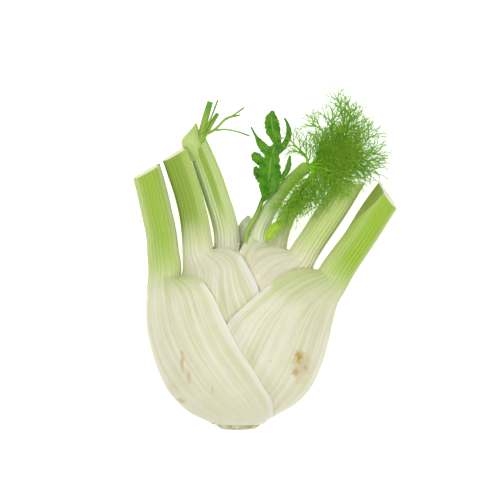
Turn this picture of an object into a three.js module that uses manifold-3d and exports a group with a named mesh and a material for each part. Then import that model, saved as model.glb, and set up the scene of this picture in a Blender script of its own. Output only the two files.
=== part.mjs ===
// A trimmed fennel bulb, lying on its flat side.
//
// A fennel bulb is a stack of leaves on a short stem. Each leaf begins as a broad white sheath that
// wraps round the leaves inside it, and ends as a ribbed green stalk. The stalks stand in one plane,
// so the bulb is flattened. They are cut short, and the youngest leaves keep their blades.
//
// Millimetres. +X is the bulb's right, +Y runs from the root end to the stalks, and +Z points up from
// the flat side. The origin is the middle of the small flat spot on which the bulb rests.
import * as THREE from "three";
import { mergeVertices } from "three/addons/utils/BufferGeometryUtils.js";
import Module from "manifold-3d";

const wasm = await Module();
wasm.setup();

// Driving dimensions
const MID_Z = 30; // height of the plane in which the stalks stand
const GAP = 0.4; // clearance that is cut round a neighbour
const LEAST_GAP = 0.25; // least clearance along each axis
const FINEST = 0.05; // detail below this is smoothed away
const BLADE = 0.8; // thickness of a blade
const TOOTH = 0.28; // depth of a blade's notches, as a share of its half width
const FOLD = 0.12; // rise of a blade's edges over its midrib, as the same share
const WAVE = 0.16; // height of the waves along a blade's edges, as the same share
const STEM_THICK = 1.9; // the frond's branches at their foot
const SIDE_STEM_THICK = 1.4; // at their tip, and at the foot of the side stems
const NEEDLE_THICK = 0.66; // thinnest thread
const FIRST_SIDE_STEM = 0.24; // where along a branch its side stems begin
const ROOM = 1.6; // room that each sheath leaves for the ribs of the one inside it
const EDGE = 1.1; // thickness of a sheath at its free edge
const FLOOR_WALL = 1; // least thickness over the flat spot
const EDGE_RAMP = 35; // distance from the edge at which a sheath has its full thickness
const EDGE_PRESS = 5; // how far beside a front edge the leaf below is still pressed in
const BACK_PRESS = 16; // the same beside a back edge
const RIB_HEIGHT = 0.35; // of the ribs along a leaf
const SHOULDER = 4.5; // a sheath's edge turns into the stalk over this length below the throat
const SHOULDER_BACK = 17; // the middle of the sheath begins to narrow this much earlier
const STALK_CORNER = (145 * Math.PI) / 180; // angle from a stalk's outward side to its inner face
const STALK_GROOVE = 1.1; // depth of the groove in that face
const INNER_STEPS = 10; // facets across an inner face
const CHORD = 0.3; // how far the flat facets of an inner face would stand into the hollow
const CUT_FACE = 0.13; // how far the cut ends face upwards
const CUT_BLEND = 25; // length over which a stalk's sections tilt into its cut

// Smooth interpolation through rows of [key, value, value, ...], without overshoot.
function track(rows) {
  const slope = (i, c) => {
    const before = i > 0 ? (rows[i][c] - rows[i - 1][c]) / (rows[i][0] - rows[i - 1][0]) : null;
    const next = rows[i + 1];
    const after = next ? (next[c] - rows[i][c]) / (next[0] - rows[i][0]) : null;
    if (before === null) return after;
    if (after === null) return before;
    return before * after > 0 ? (2 * before * after) / (before + after) : 0;
  };
  return (key, c = 1) => {
    const last = rows.length - 1;
    const at = Math.min(Math.max(key, rows[0][0]), rows[last][0]);
    let i = 0;
    while (i < last - 1 && at > rows[i + 1][0]) i += 1;
    const h = rows[i + 1][0] - rows[i][0];
    const t = (at - rows[i][0]) / h;
    const inside =
      (2 * t ** 3 - 3 * t ** 2 + 1) * rows[i][c] +
      (t ** 3 - 2 * t ** 2 + t) * h * slope(i, c) +
      (3 * t ** 2 - 2 * t ** 3) * rows[i + 1][c] +
      (t ** 3 - t ** 2) * h * slope(i + 1, c);
    return inside + (key - at) * slope(key > at ? last : 0, c);
  };
}

const smooth = (x) => {
  const t = Math.min(Math.max(x, 0), 1);
  return t * t * (3 - 2 * t);
};
const mix = (a, b, t) => a + (b - a) * t;

// The bulb's outside. Rows are [y, reach to the left, reach to the right, half depth, stretch]. stretch is
// how much thicker a wall is where the outside slopes.
const BULB = track([
  [-55, 13, 11, 11.5, 1.5],
  [-52.5, 17.2, 14, 14.5, 1.8],
  [-48.4, 26, 21, 18.5, 1.8],
  [-44, 31.2, 28.6, 21.5, 1.5],
  [-36, 38, 36.4, 25.5, 1.25],
  [-27, 42.3, 41.2, 28.6, 1.1],
  [-15, 46.3, 45.2, 30.2, 1],
  [0, 48.8, 48.6, 31.1, 1],
  [8, 48.9, 51, 31.3, 1],
  [14, 48.9, 53, 30.7, 1],
  [22.4, 47.9, 57.7, 27, 1],
  [30.7, 47.3, 62.9, 21.8, 1],
  [38, 47.3, 68, 17.4, 1],
  [46, 47.6, 73, 13.8, 1],
  [56, 49, 79, 11, 1],
]);
const LEFT = 1;
const RIGHT = 2;
const DEPTH = 3;
const STRETCH = 4;

// The leaves, from the outermost inwards. side is the side that a leaf's stalk stands on, -1 for the left,
// and thick is the thickness of its wall. The sheath begins at the height base and has its notch at the
// height throat. The stalk ends at the height top. front and back are the sheath's two edges as [y, x].
// lobe is how far their upper corners stand up beside the notch. reach is [y, how far the sheath stands out
// to its own side]. stalk is [y, x, z, half width, half depth]. cut is the slope of the cut end across the
// stalk, and twist is how far, in degrees, the stalk turns about its own length towards that end.
const LEAVES = [
  {
    name: "left_outer_leaf",
    color: 0xdddabc,
    side: -1,
    thick: 4.2,
    base: -54,
    top: 77.5,
    ribs: 11,
    throat: 24,
    lobe: 2.5,
    front: [[-54, 13], [-50, 16.4], [-45.5, 17.1], [-40, 16.1], [-35, 13.1], [-24.8, 7.1],
      [-14.6, 0.3], [-4.4, -5.2], [3.9, -9.2], [11.2, -12.6], [16.4, -15.8], [19.1, -17.8],
      [22.9, -21.3], [25.4, -24.4]],
    back: [[-54, 10], [-46, 16], [-30, 20], [-10, 18], [6, 14], [12, 6], [18, -8], [24, -22]],
    reach: [[-60, 60], [60, 60]],
    stalk: [[14, -40, 30, 8.6, 8.2], [26.5, -38.4, 30, 9.3, 8], [34.8, -39.3, 30, 8.9, 7.8],
      [43.2, -40.1, 30, 8.6, 7.6], [59.8, -43.5, 31, 8.5, 7.4], [68.1, -45.4, 31.5, 8.4, 7.3],
      [78.8, -48.3, 32, 8.2, 7.1]],
    cut: -0.25,
    twist: 0,
  },
  {
    name: "right_outer_leaf",
    color: 0xdedbc0,
    side: 1,
    thick: 4.2,
    base: -51,
    top: 64.6,
    ribs: 11,
    throat: 22.5,
    lobe: 4,
    front: [[-51, -14], [-40, -23], [-27, -19], [-11.4, -12.5], [0.5, -5.2], [6.2, 0.5],
      [11.4, 6.2], [16.4, 12.2], [20, 17.2], [23, 21.5], [24.8, 26], [26, 32]],
    back: [[-51, -12], [-40, -18], [-20, -14], [0, -5], [10, 6], [18, 16], [24.8, 30]],
    reach: [[-60, 90], [60, 90]],
    stalk: [[14, 43, 29, 10, 8], [26.5, 50.3, 29, 9.3, 8], [43, 61.9, 29, 8.6, 7.5],
      [60, 73.5, 30, 8.4, 7.3], [67, 78.4, 30.5, 8.3, 7.2]],
    cut: 0.39,
    twist: 40,
  },
  {
    name: "left_second_leaf",
    color: 0xd6d8a8,
    side: -1,
    thick: 3.9,
    base: -47,
    top: 86.2,
    ribs: 9,
    throat: 37.2,
    lobe: 2.2,
    front: [[-47, 9], [-42, 12], [-30, 15], [-15, 17], [0, 16], [8, 13.6], [15.6, 10.2], [23.3, 6.7],
      [29.5, 3.3], [33, 1.2], [37, -1]],
    back: [[-47, 8], [-30, 12], [0, 8], [20, 0], [30, -10], [37, -16]],
    reach: [[-20, 60], [0, 43], [12, 38], [20, 32.5], [27, 29.8], [40, 29.6]],
    stalk: [[26, -20.6, 34, 9, 8], [34.8, -21, 35, 8.7, 8], [43.2, -21.8, 36, 8.2, 7.8],
      [51.5, -22.9, 36.5, 7.9, 7.6], [59.8, -24.7, 37, 7.6, 7.4], [68.1, -26.9, 37.5, 7.6, 7.3],
      [76.4, -29.8, 38, 7.5, 7.2], [89, -34.3, 38.5, 7.4, 7.1]],
    cut: -0.2,
    twist: 0,
  },
  {
    name: "left_third_leaf",
    color: 0xcfd49c,
    side: -1,
    thick: 3.6,
    base: -44,
    top: 90.5,
    ribs: 9,
    throat: 39,
    lobe: 1.5,
    front: [[-44, 12], [-25, 14], [-5, 14], [8, 11], [17.2, 6.5], [23.4, 3.4], [28.3, 0.6], [33.3, -1.6],
      [36.9, -2.6], [39.8, -3.4]],
    back: [[-44, 8], [-20, 14], [5, 16], [20, 10], [39, -6]],
    reach: [[-20, 60], [0, 38], [12, 31], [22, 24], [32, 17], [44, 13.8]],
    stalk: [[36, -6, 29, 7.5, 7.2], [44.2, -6.4, 28, 7.2, 7], [54.8, -8.6, 27.5, 7, 6.8],
      [63.4, -11.4, 27, 6.9, 6.6], [72.3, -14.3, 27, 6.8, 6.5], [84.8, -19.2, 27.5, 6.4, 6.3],
      [92, -22.2, 28, 5.8, 6]],
    cut: -0.5,
    twist: 0,
  },
  {
    name: "right_second_leaf",
    color: 0xd9d3b4,
    side: 1,
    thick: 3.6,
    base: -41,
    top: 71.7,
    ribs: 9,
    throat: 33.3,
    lobe: 5,
    front: [[-41, -8], [-20, -14], [5, -16], [18, -11], [26, -1.5], [30, 0], [32, 1], [34, 4]],
    back: [[-41, -6], [-20, -8], [0, -3], [20, 4], [32, 18], [38, 24]],
    reach: [[-20, 60], [0, 44], [12, 41], [20, 39.5], [24, 38.7], [34.8, 42.6], [45, 50]],
    stalk: [[26, 28, 31, 8.5, 8], [34.8, 32.6, 31.5, 8, 7.8], [43.2, 38, 32, 7.7, 7.6],
      [51.5, 43.5, 32.5, 7.8, 7.4], [59.8, 49, 33, 7.8, 7.2], [72.8, 56.8, 34, 7.8, 7]],
    cut: -0.5,
    twist: 0,
  },
  {
    name: "right_inner_leaf",
    color: 0xdfe0c6,
    side: 1,
    thick: 3.3,
    base: -36,
    top: 66,
    ribs: 6,
    throat: 40,
    lobe: 6,
    front: [[-38, -4], [-20, -8], [5, -8], [15, -7], [24, -5], [30, -2.5], [38, -0.6], [42, 0], [46, 3]],
    back: [[-38, -3], [-10, 0], [15, 4], [30, 12], [42, 18]],
    reach: [[-20, 60], [0, 36], [15, 30], [25, 26.5], [38, 25.8], [48, 28]],
    stalk: [[36, 18.6, 27, 5.4, 5], [44.2, 20.6, 25, 4.8, 4.6], [52.5, 23.6, 24, 4.6, 4.4],
      [61.4, 28.8, 24, 4.4, 4.2], [67, 32.4, 25, 4.2, 4]],
    cut: 0,
    twist: 0,
  },
];
for (const leaf of LEAVES) {
  for (const part of ["front", "back", "reach", "stalk"]) leaf[part] = track(leaf[part]);
}

const reachTo = (side, y) => BULB(y, side < 0 ? LEFT : RIGHT);

// Angle of a point at x on the bulb's outside, from the leaf's own side: 0 at that side, 180 degrees at the
// other one.
function angleAt(side, x, y) {
  const along = side * x > 0 ? (side * x) / reachTo(side, y) : (side * x) / reachTo(-side, y);
  return Math.acos(Math.min(Math.max(along, -1), 1));
}

// Thickness of a sheath's wall at a distance from its nearest edge.
const wallAt = (leaf, fromEdge) => mix(EDGE, leaf.thick, smooth(fromEdge / EDGE_RAMP));

// Depth that a leaf takes up over a point inside it, with the room that it leaves.
function cover(leaf, x, y, depth) {
  const across = (leaf.side * x) / reachTo(Math.sign(x) || 1, y);
  const theta = Math.atan2(Math.abs(depth) / BULB(y, DEPTH), across);
  const edge = angleAt(leaf.side, (depth > 0 ? leaf.front : leaf.back)(y), y);
  const inside = (edge - theta) * Math.hypot(x, depth);
  const beside = depth > 0 ? EDGE_PRESS : BACK_PRESS;
  const pressed = smooth((inside + beside) / beside);
  const open = 1 - smooth((y - leaf.throat) / 8);
  return pressed * (wallAt(leaf, inside) * BULB(y, STRETCH) + ROOM) * open;
}

// A point of a leaf's sheath, lift above its outer face.
function sheathPoint(leaf, y, theta, lift) {
  const outer = LEAVES.slice(0, LEAVES.indexOf(leaf));
  const sink = (x, depth) => outer.reduce((sum, other) => sum + cover(other, x, y, depth), 0);
  const facing = Math.cos(theta) > 0 ? leaf.side : -leaf.side;
  const reach = reachTo(facing, y);
  const depth = BULB(y, DEPTH) * Math.sin(theta);
  const below = sink(leaf.side * Math.cos(theta) * reach, depth);
  const within = outer
    .filter((other) => other.side === facing)
    .map((other) => other.reach(y) - other.thick - ROOM);
  const standing = Math.min(reach - sink(leaf.side * reach, 0.01), leaf.reach(y));
  const own = facing === leaf.side ? standing : reach - below;
  const a = Math.min(own, ...within);
  const b = BULB(y, DEPTH) - below;
  const normal = new THREE.Vector2(Math.cos(theta) / a, Math.sin(theta) / b).normalize();
  const x = leaf.side * (a * Math.cos(theta) + normal.x * lift);
  return new THREE.Vector3(x, y, MID_Z + b * Math.sin(theta) + normal.y * lift);
}

// A point of a leaf's stalk: on its rounded outer face, or on the grooved inner one.
function stalkPoint(leaf, y, s, lift, inner) {
  const [x, z, halfWidth, halfDepth] = [1, 2, 3, 4].map((column) => leaf.stalk(y, column));
  const ahead = (column) => leaf.stalk(y + 0.5, column) - leaf.stalk(y - 0.5, column);
  const along = new THREE.Vector3(ahead(1), 1, ahead(2)).normalize();
  const wide = new THREE.Vector3().crossVectors(along, new THREE.Vector3(0, 0, 1)).normalize();
  const deep = new THREE.Vector3().crossVectors(wide, along);
  const turned = mix(STALK_CORNER, -STALK_CORNER, s);
  const hollow = STALK_GROOVE * Math.sin(Math.PI * s);
  const floor = halfWidth * Math.cos(STALK_CORNER) + hollow - lift;
  const out = inner ? floor : (halfWidth + lift) * Math.cos(turned);
  const flat = (halfDepth + lift) * Math.sin(STALK_CORNER) * (1 - 2 * s);
  const up = inner ? flat : (halfDepth + lift) * Math.sin(turned);
  const nearCut = smooth((y - leaf.top + CUT_BLEND) / CUT_BLEND);
  const roll = (leaf.twist * Math.PI / 180) * nearCut;
  const across = out * Math.cos(roll) + up * Math.sin(roll);
  const rise = up * Math.cos(roll) - out * Math.sin(roll);
  const tilt = -(leaf.cut * across * leaf.side + CUT_FACE * rise) * nearCut;
  return new THREE.Vector3(x, y, z)
    .addScaledVector(wide, leaf.side * across)
    .addScaledVector(deep, rise)
    .addScaledVector(along, tilt);
}

// A point of a leaf: s runs from its front edge, 0, round the outside to its back edge, 1.
function leafPoint(leaf, y, s, inner, grow) {
  const middle = Math.sin(Math.PI * s);
  const from = leaf.throat - SHOULDER - SHOULDER_BACK * middle;
  const turn = smooth((y - from) / (leaf.throat - from));
  const [front, back] = [leaf.front, leaf.back].map((edge) => angleAt(leaf.side, edge(y), y) + grow / 12);
  const theta = mix(front, -back, s);
  const fromEdge = Math.min(s, 1 - s) * (front + back) * 0.5 * (reachTo(leaf.side, y) + BULB(y, DEPTH));
  const rib = RIB_HEIGHT * Math.cos(2 * Math.PI * leaf.ribs * s) * smooth(middle * 3);
  const wall = wallAt(leaf, fromEdge) * BULB(y, STRETCH) - CHORD;
  const lift = inner ? -wall - grow : rib + grow;
  const stalk = stalkPoint(leaf, y, s, inner ? grow : lift, inner);
  const point = sheathPoint(leaf, y, theta, lift).lerp(stalk, turn);
  point.y += leaf.lobe * 4 * turn * (1 - turn) * Math.exp(-Math.min(s, 1 - s) / 0.12);
  point.z = Math.max(point.z, inner ? FLOOR_WALL : 0);
  return point;
}

const steps = (from, to, count) => Array.from({ length: count }, (_, i) => mix(from, to, i / count));

// A closed body from rings of points.
function skin(rings) {
  const n = rings[0].length;
  const faces = [];
  for (let r = 0; r < rings.length - 1; r += 1) {
    for (let i = 0; i < n; i += 1) {
      const [a, b] = [r * n + i, r * n + ((i + 1) % n)];
      faces.push([a, b, b + n], [a, b + n, a + n]);
    }
  }
  const cap = (r, forwards) => {
    const ring = rings[r];
    const normal = new THREE.Vector3();
    ring.forEach((p, i) => normal.add(new THREE.Vector3().crossVectors(p, ring[(i + 1) % n])));
    const u = new THREE.Vector3().subVectors(ring[Math.floor(n / 3)], ring[0]);
    u.projectOnPlane(normal).normalize();
    const v = new THREE.Vector3().crossVectors(normal.normalize(), u);
    const flat = ring.map((p) => new THREE.Vector2(p.dot(u), p.dot(v)));
    for (const [a, b, c] of THREE.ShapeUtils.triangulateShape(flat, [])) {
      faces.push(forwards ? [a, b, c].map((i) => i + r * n) : [a, c, b].map((i) => i + r * n));
    }
  };
  cap(0, false);
  cap(rings.length - 1, true);
  const geometry = new THREE.BufferGeometry();
  const numbers = rings.flat().flatMap((p) => p.toArray());
  geometry.setAttribute("position", new THREE.Float32BufferAttribute(numbers, 3));
  geometry.setIndex(faces.flat());
  return solidOf(geometry);
}

// manifold-3d solid of a closed geometry, turned right side out.
function solidOf(geometry) {
  const merged = mergeVertices(geometry, 1e-4);
  const vertProperties = merged.attributes.position.array;
  const triVerts = new Uint32Array(merged.index.array);
  const made = new wasm.Manifold(new wasm.Mesh({ numProp: 3, vertProperties, triVerts }));
  if (made.volume() > 0) return made;
  for (let i = 0; i < triVerts.length; i += 3) {
    [triVerts[i + 1], triVerts[i + 2]] = [triVerts[i + 2], triVerts[i + 1]];
  }
  return new wasm.Manifold(new wasm.Mesh({ numProp: 3, vertProperties, triVerts }));
}

const biggest = (solid) => solid.decompose().sort((a, b) => b.volume() - a.volume())[0];
const join = (solids) => wasm.Manifold.union(solids).simplify(FINEST);
// A solid with its clearance all round, to be cut out of a neighbour. wide is a thicker copy of the solid.
const roomFor = (solid, wide) => join([wide, ...[-1, 1].flatMap((way) => [
  solid.translate([way * LEAST_GAP, 0, 0]),
  solid.translate([0, way * LEAST_GAP, 0]),
  solid.translate([0, 0, way * LEAST_GAP]),
])]);
const cutBy = (solid, cutters) => biggest(cutters.reduce((left, cutter) => left.subtract(cutter), solid)
  .simplify(FINEST));

// Sheath and stalk of one leaf. grow makes it thicker all round, for cutting its room out of a neighbour.
function leafSolid(leaf, grow = 0) {
  const heights = [
    ...steps(leaf.base - grow, leaf.throat - 16, 7),
    ...steps(leaf.throat - 16, leaf.throat, 7),
    ...steps(leaf.throat, leaf.top + grow, 3),
    leaf.top + grow,
  ];
  const outside = [...steps(0, 1, 2 * leaf.ribs), 1];
  const inside = [...steps(0.97, 0.03, INNER_STEPS), 0.03];
  return skin(heights.map((y) => [
    ...outside.map((s) => leafPoint(leaf, y, s, false, grow)),
    ...inside.map((s) => leafPoint(leaf, y, s, true, grow)),
  ]));
}

// Smooth curve through the first three numbers of each row.
function through(rows) {
  const points = rows.map(([x, y, z]) => new THREE.Vector3(x, y, z));
  return new THREE.CatmullRomCurve3(points, false, "centripetal");
}

// A round or flattened stem along a smooth path of [x, y, z, half width, half depth]. A row may leave out
// the half depth if it is the half width again.
function stem(path, sides, grow = 0) {
  const curve = through(path);
  const sizes = (column) => track(path.map((row, i) => [i, (row[column] ?? row[3])]));
  const [halfWidth, halfDepth] = [sizes(3), sizes(4)];
  const rings = [...steps(0, 1, path.length), 1].map((t) => {
    const centre = curve.getPoint(t);
    const along = curve.getTangent(t);
    const side = Math.abs(along.z) > 0.9 ? new THREE.Vector3(1, 0, 0) : new THREE.Vector3(0, 0, 1);
    const wide = new THREE.Vector3().crossVectors(along, side).normalize();
    const deep = new THREE.Vector3().crossVectors(wide, along);
    const key = t * (path.length - 1);
    return steps(0, 2 * Math.PI, sides).map((angle) => centre
      .clone()
      .addScaledVector(wide, (halfWidth(key) + grow) * Math.cos(angle))
      .addScaledVector(deep, (halfDepth(key) + grow) * Math.sin(angle)));
  });
  return skin(rings);
}

// A leaf blade along its midrib, rows of [x, y, z, half width]. Its edge is toothed, and it is waved and
// folded along the midrib.
function blade(rows, teeth, grow = 0) {
  const curve = through(rows);
  const width = track(rows.map((row, i) => [i, row[3]]));
  const count = 2 * teeth;
  return skin([...steps(0, 1, count), 1].map((t, i) => {
    const centre = curve.getPoint(t);
    const along = curve.getTangent(t);
    const wide = new THREE.Vector3().crossVectors(along, new THREE.Vector3(0, 0, 1)).normalize();
    const half = width(t * (rows.length - 1)) * (i % 2 ? 1 : 1 - TOOTH);
    const bent = (u) => FOLD * half * Math.abs(u) + WAVE * half * u * Math.sin(7 * t + 1);
    const at = (u, up) => centre
      .clone()
      .addScaledVector(wide, (half + grow) * u)
      .add(new THREE.Vector3(0, 0, up + bent(u)));
    const top = [-1, 0, 1].map((u) => at(u, BLADE / 2 + grow));
    const under = [1, 0, -1].map((u) => at(u, -BLADE / 2 - grow));
    return [...top, ...under];
  }));
}

// Repeatable random numbers from 0 to 1.
function randomFrom(seed) {
  let state = seed;
  return () => {
    state = (state * 1664525 + 1013904223) % 4294967296;
    return state / 4294967296;
  };
}

// A slim three-sided needle.
function needle(from, to, thick, tip) {
  const along = new THREE.Vector3().subVectors(to, from).normalize();
  const wide = new THREE.Vector3().crossVectors(along, new THREE.Vector3(0, 0, 1)).normalize();
  const deep = new THREE.Vector3().crossVectors(wide, along);
  const ring = (centre, radius) => steps(0, 2 * Math.PI, 3).map((angle) => centre
    .clone()
    .addScaledVector(wide, radius * Math.sin(angle))
    .addScaledVector(deep, radius * Math.cos(angle)));
  return skin([ring(from, thick / 2), ring(to, tip / 2)]);
}

// One branch of the frond, which starts at the node: its stem, side stems to left and right in turn, and two
// forks on each of them. reach is the length of its first side stems.
function spray({ pairs, reach, seed, points }) {
  const random = randomFrom(seed);
  const path = [NODE, ...points];
  const curve = through(path);
  const thick = (i) => mix(STEM_THICK, SIDE_STEM_THICK, i / (path.length - 1));
  const pieces = [stem(path.map(([x, y, z], i) => [x, y, z, thick(i) / 2]), 4)];
  for (let i = 0; i < 2 * pairs; i += 1) {
    const t = mix(FIRST_SIDE_STEM, 1, i / (2 * pairs));
    const root = curve.getPoint(t);
    const along = curve.getTangent(t);
    const turn = (i % 2 ? 1 : -1) * mix(0.5, 0.95, random());
    const rise = mix(-0.15, 0.35, random());
    const out = along.clone().applyAxisAngle(new THREE.Vector3(0, 0, 1), turn);
    out.z = rise;
    out.normalize();
    const length = reach * (1 - 0.45 * t) * mix(0.75, 1.15, random());
    const tip = root.clone().addScaledVector(out, length);
    pieces.push(needle(root, tip, SIDE_STEM_THICK, NEEDLE_THICK));
    for (const [j, place] of [0.3, 0.6].entries()) {
      const fork = root.clone().addScaledVector(out, length * mix(place - 0.05, place + 0.1, random()));
      const spread = (j % 2 ? 1 : -1) * mix(0.4, 0.8, random());
      const way = out.clone().applyAxisAngle(new THREE.Vector3(0, 0, 1), spread);
      way.z += mix(-0.2, 0.4, random());
      way.normalize();
      const far = fork.clone().addScaledVector(way, length * mix(0.45, 0.65, random()));
      pieces.push(needle(fork, far, NEEDLE_THICK, NEEDLE_THICK));
    }
  }
  return join(pieces);
}

// Short stem that every leaf grows from: rows of [x, y, z, half width, half depth]
const ROOT_PLATE = [[-1, -56.6, 30, 8.5, 8], [-1, -54.5, 30, 11.5, 10.5], [-1, -50, 30, 13, 12],
  [-1, -43, 30, 12, 11], [-1, -34, 30, 9.5, 9], [-1, -28, 30, 5, 5], [-1, -25, 30, 2, 2]];

// Pale stalk of the frond, swollen inside the bulb
const FROND_STALK = [[2, -22, 30, 4, 4], [3, -8, 30, 12, 11], [5, 10, 31, 13, 12],
  [6.2, 28, 32, 9.5, 9.5], [8.4, 40, 33, 5.6, 5.6], [9.8, 46, 33.5, 4.9, 4.9],
  [12.9, 53, 34, 4.2, 4.2], [17, 60, 35, 3.7, 3.7], [23.6, 69, 36.5, 3.3, 3.3],
  [30, 75.6, 38, 3, 3], [33.8, 78.8, 38.6, 3.2, 3.2], [35.4, 80, 38.8, 2, 2]];

// Oblique cut sheath on the node at the top of the third leaf's stalk
const CUT_NODE = [[-21.5, 85, 28, 5, 5], [-23.8, 89.5, 29.3, 5.3, 5], [-25, 92.3, 30.2, 5.6, 4.8],
  [-24.3, 96, 30.8, 3.5, 3.6], [-23.4, 99, 31, 2, 2.4], [-22.8, 102.2, 31, 0.5, 0.8]];

// Green stems and threads on that node: rows of [x, y, z, radius]
const STUBS = [
  [[-20.6, 92.5, 30.5, 2.4], [-19.6, 96.5, 31, 2.2], [-18.8, 98.5, 31, 1.4]],
  [[-20.6, 95, 31, 1.7], [-18.2, 104, 32, 1.75], [-15.4, 113.4, 33, 1.5]],
  [[-19, 95, 30.5, 1.3], [-15.2, 101.5, 30.6, 1.2], [-11.6, 107.4, 30.5, 1]],
  [[-19.4, 96, 32, 0.6], [-14.9, 105.2, 34.5, 0.5], [-11.4, 114.2, 36, 0.4]],
  [[-19, 96, 31.5, 0.9], [-13.5, 98.6, 33, 0.7], [-6.2, 105, 34, 0.6], [0, 106.4, 34, 0.4]],
  [[-7, 104.2, 34, 0.5], [-2, 107.2, 35, 0.45], [2.2, 110.2, 35.5, 0.4]],
  [[-14, 98.4, 32.8, 0.5], [-8, 99, 32, 0.45], [-2.6, 98.2, 31.5, 0.4], [5, 95.7, 31, 0.4]],
];

// Dark leaf: its stem, then its lobes as midribs with half widths
const DARK_STEM = [[3.4, 36.5, 41.6, 1.1], [3.1, 41, 40.3, 1.2], [3.2, 44.6, 39.4, 1.25],
  [5.2, 49, 39, 1.25], [9.2, 56, 39, 1.2], [11.6, 62.4, 39.6, 1.1], [14.5, 69, 40.6, 0.9],
  [16.6, 77, 41.4, 0.7], [17, 86, 41.8, 0.6]];
const DARK_LOBES = [
  {
    teeth: 5,
    rows: [[12.6, 62.6, 39.8, 0.8], [14.6, 68.6, 40.6, 4], [16.1, 74.9, 41.4, 5.5],
      [17.2, 80.6, 41.8, 5.3], [18.2, 86, 41.9, 3.4], [19.8, 90.6, 42, 1.6]],
  },
  {
    teeth: 5,
    rows: [[20.4, 87.6, 41.9, 1.2], [18.8, 93.4, 42.4, 2.6], [16.6, 99.2, 42.8, 4],
      [16, 103.2, 43, 3.6], [16.5, 108, 43.2, 0.6]],
  },
  {
    teeth: 4,
    rows: [[16.8, 84.6, 41.8, 0.8], [13, 88.4, 42.4, 2.6], [10.4, 91.5, 42.8, 2.2],
      [8.3, 95, 43, 0.8], [5.7, 99.8, 43, 0.45]],
  },
  {
    teeth: 3,
    rows: [[15.4, 78, 41.3, 0.8], [9.9, 82.4, 41.8, 3], [7.8, 84.5, 42, 2.8], [6.2, 86.2, 42, 0.9]],
  },
  {
    teeth: 3,
    rows: [[14.4, 69.6, 40.7, 0.8], [10.4, 74, 41.3, 2.5], [8.8, 77, 41.5, 2.2], [7.8, 79.2, 41.6, 0.5]],
  },
  {
    teeth: 4,
    rows: [[17.4, 84, 41.9, 0.8], [22.9, 90.5, 42.4, 2], [25.5, 96.7, 42.8, 2.2], [25, 101, 43, 1.1],
      [22.9, 104.5, 43, 0.45]],
  },
  {
    teeth: 3,
    rows: [[16.6, 72, 41.2, 0.7], [21.6, 74.6, 41.9, 0.9], [25, 79.5, 42.3, 1.6], [25.6, 85, 42.5, 0.5]],
  },
];

// Bright leaflet at the throat, and the pale tip of a sheath behind the frond's stalk
const LEAFLET = [[13, 40.6, 40.6, 0.5], [15.4, 44.4, 41, 2.3], [17.6, 47.2, 41.2, 2.8],
  [20, 49.8, 41.2, 1.7], [22.2, 51.8, 41.2, 0.4]];
const BACK_TIP = [[1.5, 30, 23.5, 4], [2.4, 40, 25, 4.2], [3, 46, 25.6, 4.4],
  [3.8, 50.6, 26, 3.4], [4.6, 54.4, 26, 0.8]];

// Branches of the frond, all from the end of its stalk
const NODE = [35.2, 80, 39];
const SPRAYS = [
  { pairs: 4, reach: 12, seed: 3, points: [[43, 84.4, 42], [51, 93.6, 44], [54.6, 105, 45], [52, 115, 45],
    [49.6, 119.5, 45]] },
  { pairs: 4, reach: 11, seed: 8, points: [[40.6, 88.4, 42.5], [45, 95, 44.5], [44.6, 102, 45.5]] },
  { pairs: 2, reach: 8, seed: 14, points: [[33.6, 88, 42], [28, 93.4, 43.5], [23.6, 96.6, 44]] },
  { pairs: 4, reach: 12, seed: 22, points: [[47, 83.6, 43], [57, 91, 45], [65, 96, 46], [68.4, 101, 46]] },
  { pairs: 4, reach: 12, seed: 31, points: [[47, 82, 43.5], [60, 85.8, 45], [72.8, 89, 46],
    [80, 90.6, 46]] },
  { pairs: 3, reach: 11, seed: 39, points: [[47, 79.4, 43], [60, 80.4, 44], [73, 80.4, 44.5]] },
  { pairs: 3, reach: 9, seed: 44, points: [[33, 73, 37.5], [26.4, 65, 38], [21, 57.6, 39]] },
  { pairs: 3, reach: 10, seed: 51, points: [[40.6, 74, 41.5], [37.6, 66.6, 42], [30.2, 58.4, 42]] },
  { pairs: 2, reach: 9, seed: 57, points: [[44.4, 77, 43], [49.4, 72, 44], [51, 67, 44.5]] },
];

const group = new THREE.Group();

// Adds one named sub-part.
function place(name, solid, color, roughness) {
  const mesh = solid.getMesh();
  const geometry = new THREE.BufferGeometry();
  geometry.setAttribute("position", new THREE.Float32BufferAttribute(mesh.vertProperties, 3));
  geometry.setIndex([...mesh.triVerts]);
  const made = new THREE.Mesh(geometry, new THREE.MeshStandardMaterial({ color, roughness, metalness: 0 }));
  made.name = name;
  group.add(made);
}

const both = (make) => {
  const solid = make(0);
  return { solid, room: roomFor(solid, make(GAP)) };
};
const rootPlate = both((grow) => stem(ROOT_PLATE, 16, grow));
const leaves = LEAVES.map((leaf) => both((grow) => leafSolid(leaf, grow)));
const frondStalk = both((grow) => stem(FROND_STALK, 12, grow));
const darkLeaf = both((grow) => join([
  stem(DARK_STEM, 5, grow),
  ...DARK_LOBES.map(({ rows, teeth }) => blade(rows, teeth, grow)),
]));
const leaflet = both((grow) => blade(LEAFLET, 5, grow));
const backTip = both((grow) => blade(BACK_TIP, 5, grow));
const cutNode = both((grow) => stem(CUT_NODE, 8, grow));
const inner = [frondStalk, darkLeaf, leaflet, backTip].map(({ room }) => room);

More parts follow.
